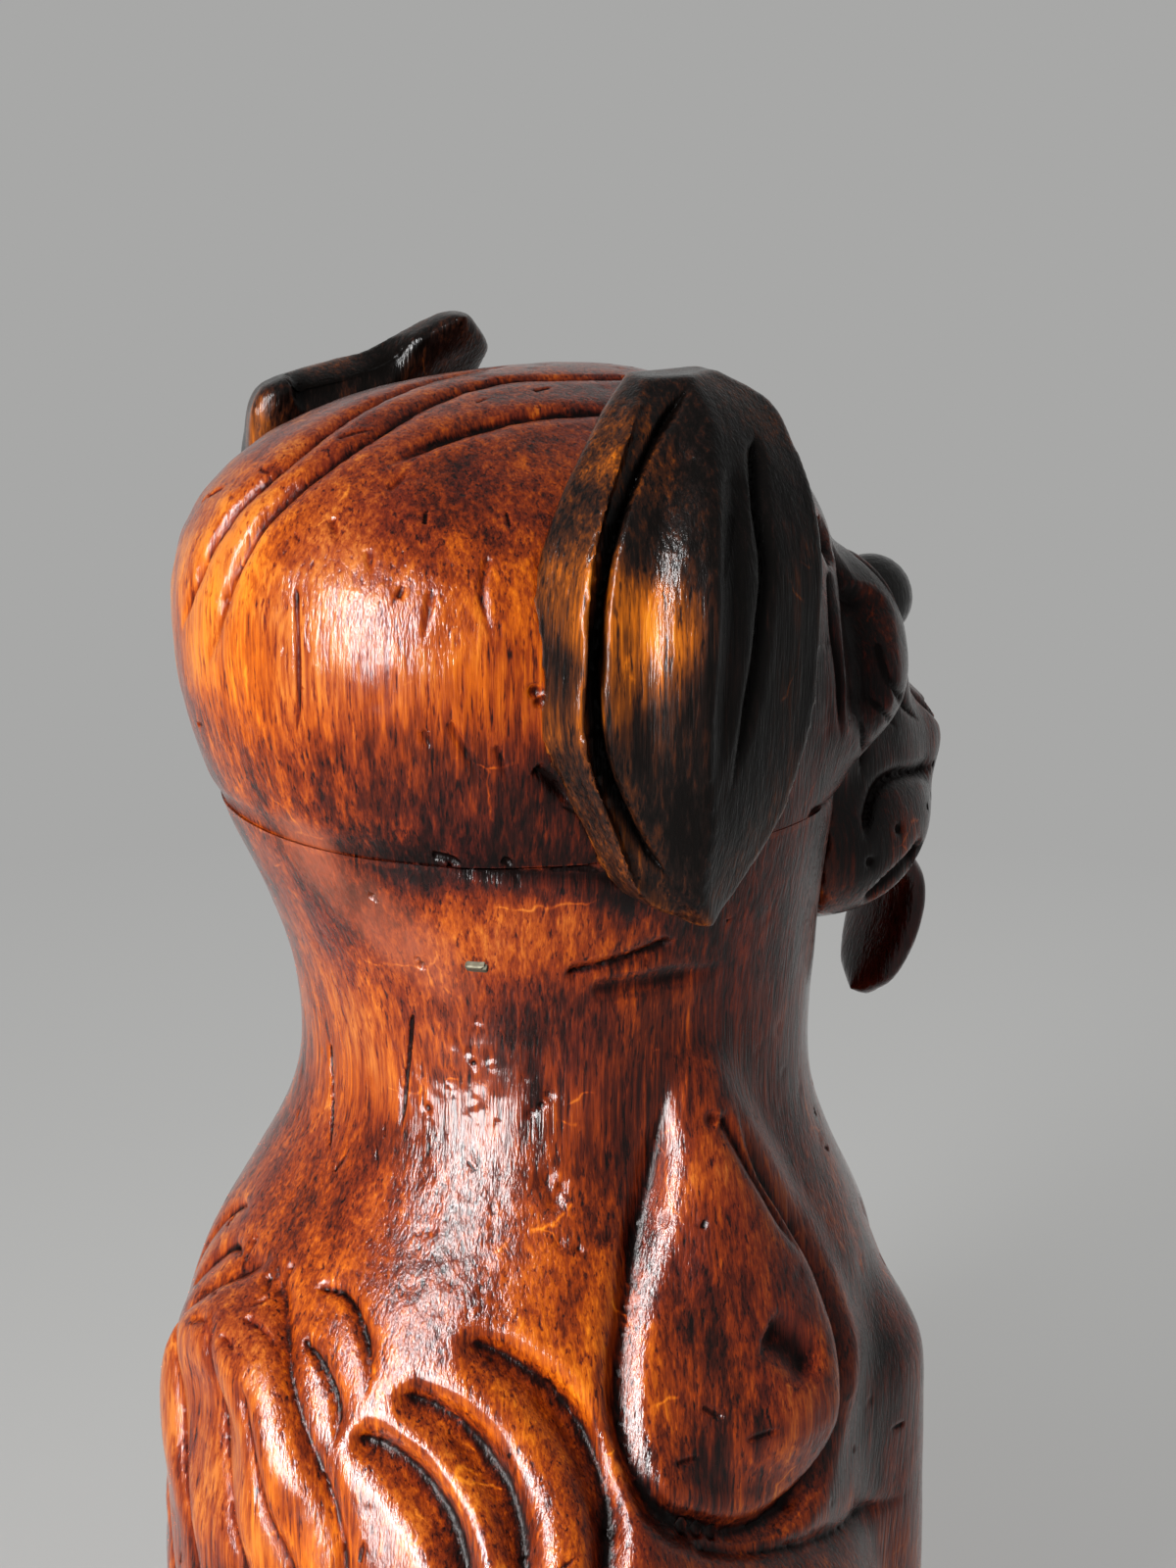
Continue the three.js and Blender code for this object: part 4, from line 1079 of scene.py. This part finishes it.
def bare_beech():
    """Turned beech rod, unfinished: pale, matt, with short brown rays along its length."""
    material, tree, shader, place = new_material("bare_beech")
    scaled = add(
        tree, "ShaderNodeMapping", {"Vector": place, "Scale": [1 / size for size in BEECH_RAY_SIZE]}
    )
    rays = add(tree, "ShaderNodeTexNoise", {"Vector": scaled, "Scale": 1.0, "Detail": 3.0})
    tint = add(
        tree, "ShaderNodeMix",
        {"Factor": rays, 6: linear("#d8b083"), 7: linear("#b98955")}, out=2, data_type="RGBA",
    )
    tree.links.new(tint, shader.inputs["Base Color"])
    shader.inputs["Roughness"].default_value = BEECH_ROUGHNESS
    return material


def dull_nail_steel():
    """Cut nail, hammered and weathered: grey steel with darker stains and a dull, uneven shine."""
    material, tree, shader, place = new_material("dull_nail_steel")
    stains = add(
        tree, "ShaderNodeTexNoise", {"Vector": place, "Scale": 1 / NAIL_STAIN_SIZE, "Detail": 4.0}
    )
    tint = add(
        tree, "ShaderNodeMix",
        {"Factor": stains, 6: linear("#6f6b5c"), 7: linear("#37332b")}, out=2, data_type="RGBA",
    )
    tree.links.new(tint, shader.inputs["Base Color"])
    rough = add(tree, "ShaderNodeMapRange", {"Value": stains, "To Min": 0.55, "To Max": 0.85})
    tree.links.new(rough, shader.inputs["Roughness"])
    bump = add(tree, "ShaderNodeBump", {"Height": stains, "Strength": 0.4, "Distance": NAIL_PIT_DEPTH})
    tree.links.new(bump, shader.inputs["Normal"])
    shader.inputs["Metallic"].default_value = 1.0
    return material


# Pieces


def hand_over(piece, node):
    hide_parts(node)
    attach(piece, "root")


def bites_for(surface, cuts, pits=(), nicks=()):
    bites = Bites()
    for pit in pits:
        point = cast(surface, pit.view, pit.place)
        if point:
            bites.pit(point, pit.radius, pit.depth)
    for nick in nicks:
        bites.pull(along(nick, surface), nick, 0)
    for cut in cuts:
        points = along(cut, surface)
        bites.stroke(points, cut)
        if cut.twin:
            bites.stroke(opposite(surface, points), cut)
    return bites


def stray_dents(chance, view, count, low, high):
    """Shallow dents of long handling, strewn over the part of a view between two corners."""
    dents = []
    for _ in range(count):
        place = (chance.uniform(low[0], high[0]), chance.uniform(low[1], high[1]))
        dents.append(Pit(view, place, chance.uniform(*DENT_RADII), chance.uniform(*DENT_DEPTHS)))
    return dents


def stray_nicks(chance, view, count, low, high):
    """Cuts and open pores of old wood, strewn over the part of a view between two corners."""
    nicks = []
    for _ in range(count):
        start = Vector((chance.uniform(low[0], high[0]), chance.uniform(low[1], high[1])))
        lean = chance.gauss(0, NICK_LEAN)
        length = LONGEST_NICK * chance.uniform(*NICK_LENGTHS)
        end = start + length * Vector((math.sin(lean), math.cos(lean)))
        half_width = chance.uniform(*NICK_HALF_WIDTHS)
        depth = half_width * chance.uniform(*NICK_STEEPNESS)
        nicks.append(Cut(view, [start, end], half_width, depth, NICK_FADE, GOUGE))
    return nicks


chance = random.Random(SEED)
wood = stained_hardwood("stained_lacquered_hardwood", AMBER_STAIN, MAHOGANY_STAIN, WOOD_COAT_IOR)
ear_wood = stained_hardwood("black_stained_hardwood", BLACK_STAIN, EBONY_STAIN, EAR_COAT_IOR)
tongue_wood = stained_hardwood("red_stained_hardwood", TONGUE_STAIN, TONGUE_STAIN, GLOSS_COAT_IOR)
eye_wood = stained_hardwood("black_lacquered_hardwood", LACQUER_BLACK, LACQUER_BLACK, GLOSS_COAT_IOR)

beyond_seat = across_seat(
    "torso", "head", (-ROOM, JAW_LINE, SEAT_HEIGHT), (ROOM, ROOM, ROOM),
    SEAT_HEIGHT + SEAT_GAP, -SEAT_OVERLAP,
)
torso = skin("carved_torso", beyond_seat, *TORSO_SKIN, base=0)
trim(torso, "DIFFERENCE", (-ROOM, -ROOM, SEAT_HEIGHT + GLUE), (ROOM, ROOM, ROOM))
below_seat = across_seat(
    "head", "torso", (-ROOM, JAW_LINE + JAW_ROOM, SEAT_HEIGHT - NECK_SHARE), (ROOM, ROOM, ROOM),
    SEAT_HEIGHT, SEAT_OVERLAP,
)
head = skin("carved_head", below_seat, *HEAD_SKIN)
trim(head, "DIFFERENCE", (-ROOM, JAW_LINE, -ROOM), (ROOM, ROOM, SEAT_HEIGHT + SEAT_GAP))
body = body_surface(torso, head)
# Tones of the stain, darkened in places as painted shade
stain_and_shade_spots = spots_on(body, "photo", BODY_PATCHES, twins=True)
stain_and_shade_spots += spots_on(body, "front", FACE_PATCHES, twins=True)
filler_spots = spots_on(body, "photo", FILLER_PATCHES)

torso_nicks = stray_nicks(chance, "round", TORSO_NICKS, *TORSO_AREA)
torso_pits = TORSO_PITS + stray_dents(chance, "photo", FLANK_DENTS, *WORN_FLANK)
torso_pits += stray_dents(chance, "round", TORSO_DENTS, *TORSO_AREA)
torso_bites = bites_for(surface_of(torso), TORSO_CUTS, torso_pits, torso_nicks)
carve(torso, torso_bites, wood, BLOCK_SCRAPE)
spread(torso, "tone", stain_and_shade_spots, *BODY_GROUND)
spread(torso, "filler", filler_spots, *FILLER_GROUND)
hand_over(torso, "torso")

head_nicks = stray_nicks(chance, "crown", HEAD_NICKS, *CROWN_AREA)
head_pits = HEAD_PITS + stray_dents(chance, "crown", HEAD_DENTS, *CROWN_AREA)
head_bites = bites_for(surface_of(head), HEAD_CUTS, head_pits, head_nicks)
carve(head, head_bites, wood, BLOCK_SCRAPE)
spread(head, "tone", stain_and_shade_spots, *BODY_GROUND)
spread(head, "filler", filler_spots, *FILLER_GROUND)
hand_over(head, "head")

ear_right = skin("carved_ear_right", solid_of("ear_right"), *RIGHT_EAR_SKIN)
ear_surface = surface_of(ear_right)
right_cuts = [cut._replace(twin=False) for cut in EAR_CUTS]
carve(ear_right, bites_for(ear_surface, right_cuts), ear_wood, RIGHT_EAR_SCRAPE)
ear_spots = spots_on(ear_surface, "photo", EAR_PATCHES, twins=True)
spread(ear_right, "tone", ear_spots, *EAR_GROUND)
hand_over(ear_right, "ear_right")

left_solid = solid_of("ear_left")
pare(left_solid, *LEFT_EAR_END)
ear_left = skin("carved_ear_left", left_solid, *LEFT_EAR_SKIN)
left_surface = surface_of(ear_left)
left_bites = bites_for(left_surface, LEFT_EAR_CUTS)
for cut in EAR_CUTS:
    left_bites.stroke(opposite(left_surface, along(cut, ear_surface)), cut)
carve(ear_left, left_bites, ear_wood, LEFT_EAR_SCRAPE)
left_spots = ear_spots + spots_on(left_surface, "photo", LEFT_EAR_PATCHES)
spread(ear_left, "tone", left_spots, *EAR_GROUND)
hand_over(ear_left, "ear_left")

for side, mirror in (("right", 1), ("left", -1)):
    eye = skin(f"lacquered_eye_{side}", solid_of(f"eye_{side}"), *EYE_SKIN)
    across = Matrix.Diagonal((mirror, 1))
    cuts = [cut._replace(corners=[across @ corner for corner in cut.corners]) for cut in EYE_CUTS]
    pupil = Pit("front", across @ EYE_MIDDLE, PUPIL_RADIUS, PUPIL_DEPTH)
    carve(eye, bites_for(surface_of(eye), cuts, [pupil]), eye_wood, EYE_SCRAPE)
    spread(eye, "tone", [], *EYE_GROUND)
    hand_over(eye, f"eye_{side}")

tongue = skin("carved_tongue", solid_of("tongue"), *TONGUE_SKIN)
carve(tongue, bites_for(surface_of(tongue), TONGUE_CUTS), tongue_wood, TONGUE_SCRAPE)
spread(tongue, "tone", [], *TONGUE_GROUND)
hand_over(tongue, "tongue")

steel = dull_nail_steel()
for side in ("right", "left"):
    node = f"neck_nail_{side}"
    solid = solid_of(node)
    bmesh.ops.bevel(solid, geom=solid.edges, offset=NAIL_BEVEL, segments=2, affect="EDGES", profile=0.5)
    bmesh.ops.triangulate(solid, faces=solid.faces)
    nail = as_object(f"cut_nail_{side}", solid)
    nail.data.materials.append(steel)
    hand_over(nail, node)

beech = bare_beech()
for name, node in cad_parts.items():
    if "dowel" in name:
        for slot in node.material_slots:
            slot.material = beech


# Floor and light


BACKDROP = "#a8a8a7"  # what the camera and reflections see of floor and room
SHADOW_NEAR = 0.15  # metres from the dog within which the floor shows most of its shadow
SHADOW_FAR = 0.55  # and beyond which it shows none, so that no horizon is seen
SHADOW_SHARE = 0.5  # of the backdrop's colour in the floor near the dog
ROOM_LIGHT = 0.33  # of the backdrop's brightness, as light on the dog
PAPER_CLOUD_SIZE = 1 / 3
FLOOR_RADIUS = 30
FLOOR_DROP = 0.1 * MM  # below the base, so that the two faces don't fight
LAMP_SPREAD = 120  # degrees
# Lamps: the direction from the dog, the rest in metres and watts
Lamp = namedtuple("Lamp", "direction distance width height power")
WINDOW = Lamp((-0.33, 0.92, 0.19), 0.85, 0.2, 0.64, 5)
WINDOW_SHEEN = WINDOW._replace(distance=0.86, width=0.26, power=8.5)
WINDOW_FOOT = Lamp((-0.33, 0.92, -0.36), 0.34, 0.16, 0.1, 1.0)
FILL = Lamp((0.6, -0.7, 0.4), 2.0, 1.2, 1.2, 16)


def seen_share(tree):
    """1 for the rays that show the background: to the camera, in reflections and through glass."""
    ray = add(tree, "ShaderNodeLightPath", out=None).outputs
    seen = ray["Is Camera Ray"]
    for kind in ("Is Glossy Ray", "Is Transmission Ray"):
        seen = add(tree, "ShaderNodeMath", {0: seen, 1: ray[kind]}, operation="MAXIMUM")
    return seen


def matt_paper():
    """Matt white paper, softly lit: even and pale, with a faint cloudiness and the dog's shadow."""
    material, tree, shader, place = new_material("matt_paper")
    cloud = add(
        tree, "ShaderNodeTexNoise", {"Vector": place, "Scale": 1 / PAPER_CLOUD_SIZE, "Detail": 2.0}
    )
    tint = add(
        tree, "ShaderNodeMix",
        {"Factor": cloud, 6: linear("#d2d2d0"), 7: linear("#d8d8d6")}, out=2, data_type="RGBA",
    )
    tree.links.new(tint, shader.inputs["Base Color"])
    shader.inputs["Roughness"].default_value = 0.9
    shader.inputs["Specular IOR Level"].default_value = 0.1
    glow = add(tree, "ShaderNodeEmission", {"Color": linear(BACKDROP), "Strength": 1.0})
    away = add(tree, "ShaderNodeVectorMath", {0: place}, out="Value", operation="LENGTH")
    evened = add(
        tree, "ShaderNodeMapRange",
        {"Value": away, "From Min": SHADOW_NEAR, "From Max": SHADOW_FAR, "To Min": SHADOW_SHARE},
    )
    share = add(tree, "ShaderNodeMath", {0: seen_share(tree), 1: evened}, operation="MULTIPLY")
    mixed = add(tree, "ShaderNodeMixShader", {"Fac": share, 1: shader.outputs[0], 2: glow})
    tree.links.new(mixed, tree.nodes["Material Output"].inputs["Surface"])
    return material


def floor():
    disc = bmesh.new()
    bmesh.ops.create_circle(disc, cap_ends=True, segments=96, radius=FLOOR_RADIUS)
    made = as_object("floor", disc)
    made.location.z = -FLOOR_DROP
    made.data.materials.append(matt_paper())


def soft_box(name, lamp):
    """An area lamp that the camera doesn't see, turned to the middle of the view."""
    light = bpy.data.lights.new(name, "AREA")
    light.shape = "RECTANGLE"
    light.size = lamp.width
    light.size_y = lamp.height
    light.energy = lamp.power
    light.spread = math.radians(LAMP_SPREAD)
    made = new_object(name, light)
    away = Vector(lamp.direction).normalized()
    made.location = VIEW_TARGET + away * lamp.distance
    made.rotation_euler = away.to_track_quat("Z", "Y").to_euler()
    made.visible_camera = False
    return made


def room():
    """Pale to the camera and in reflections, and a weak even light on everything else."""
    world = bpy.data.worlds.new("room")
    bpy.context.scene.world = world
    world.use_nodes = True
    tree = world.node_tree
    strength = add(tree, "ShaderNodeMapRange", {"Value": seen_share(tree), "To Min": ROOM_LIGHT})
    background = tree.nodes["Background"]
    background.inputs["Color"].default_value = linear(BACKDROP)
    tree.links.new(strength, background.inputs["Strength"])


floor()
soft_box("window", WINDOW)
sheen = soft_box("window_sheen", WINDOW_SHEEN)
sheen.visible_diffuse = False  # the wider window, which shows in the lacquer alone
low_sheen = soft_box("window_foot", WINDOW_FOOT)
low_sheen.visible_diffuse = False  # the window's foot, which the torso alone mirrors
mirrors = bpy.data.collections.new("mirrors_window_foot")
mirrors.objects.link(torso)
low_sheen.light_linking.receiver_collection = mirrors
fill = soft_box("fill", FILL)
fill.visible_glossy = False  # it leaves no glare on the lacquer
room()
bpy.context.scene.view_settings.view_transform = "Standard"
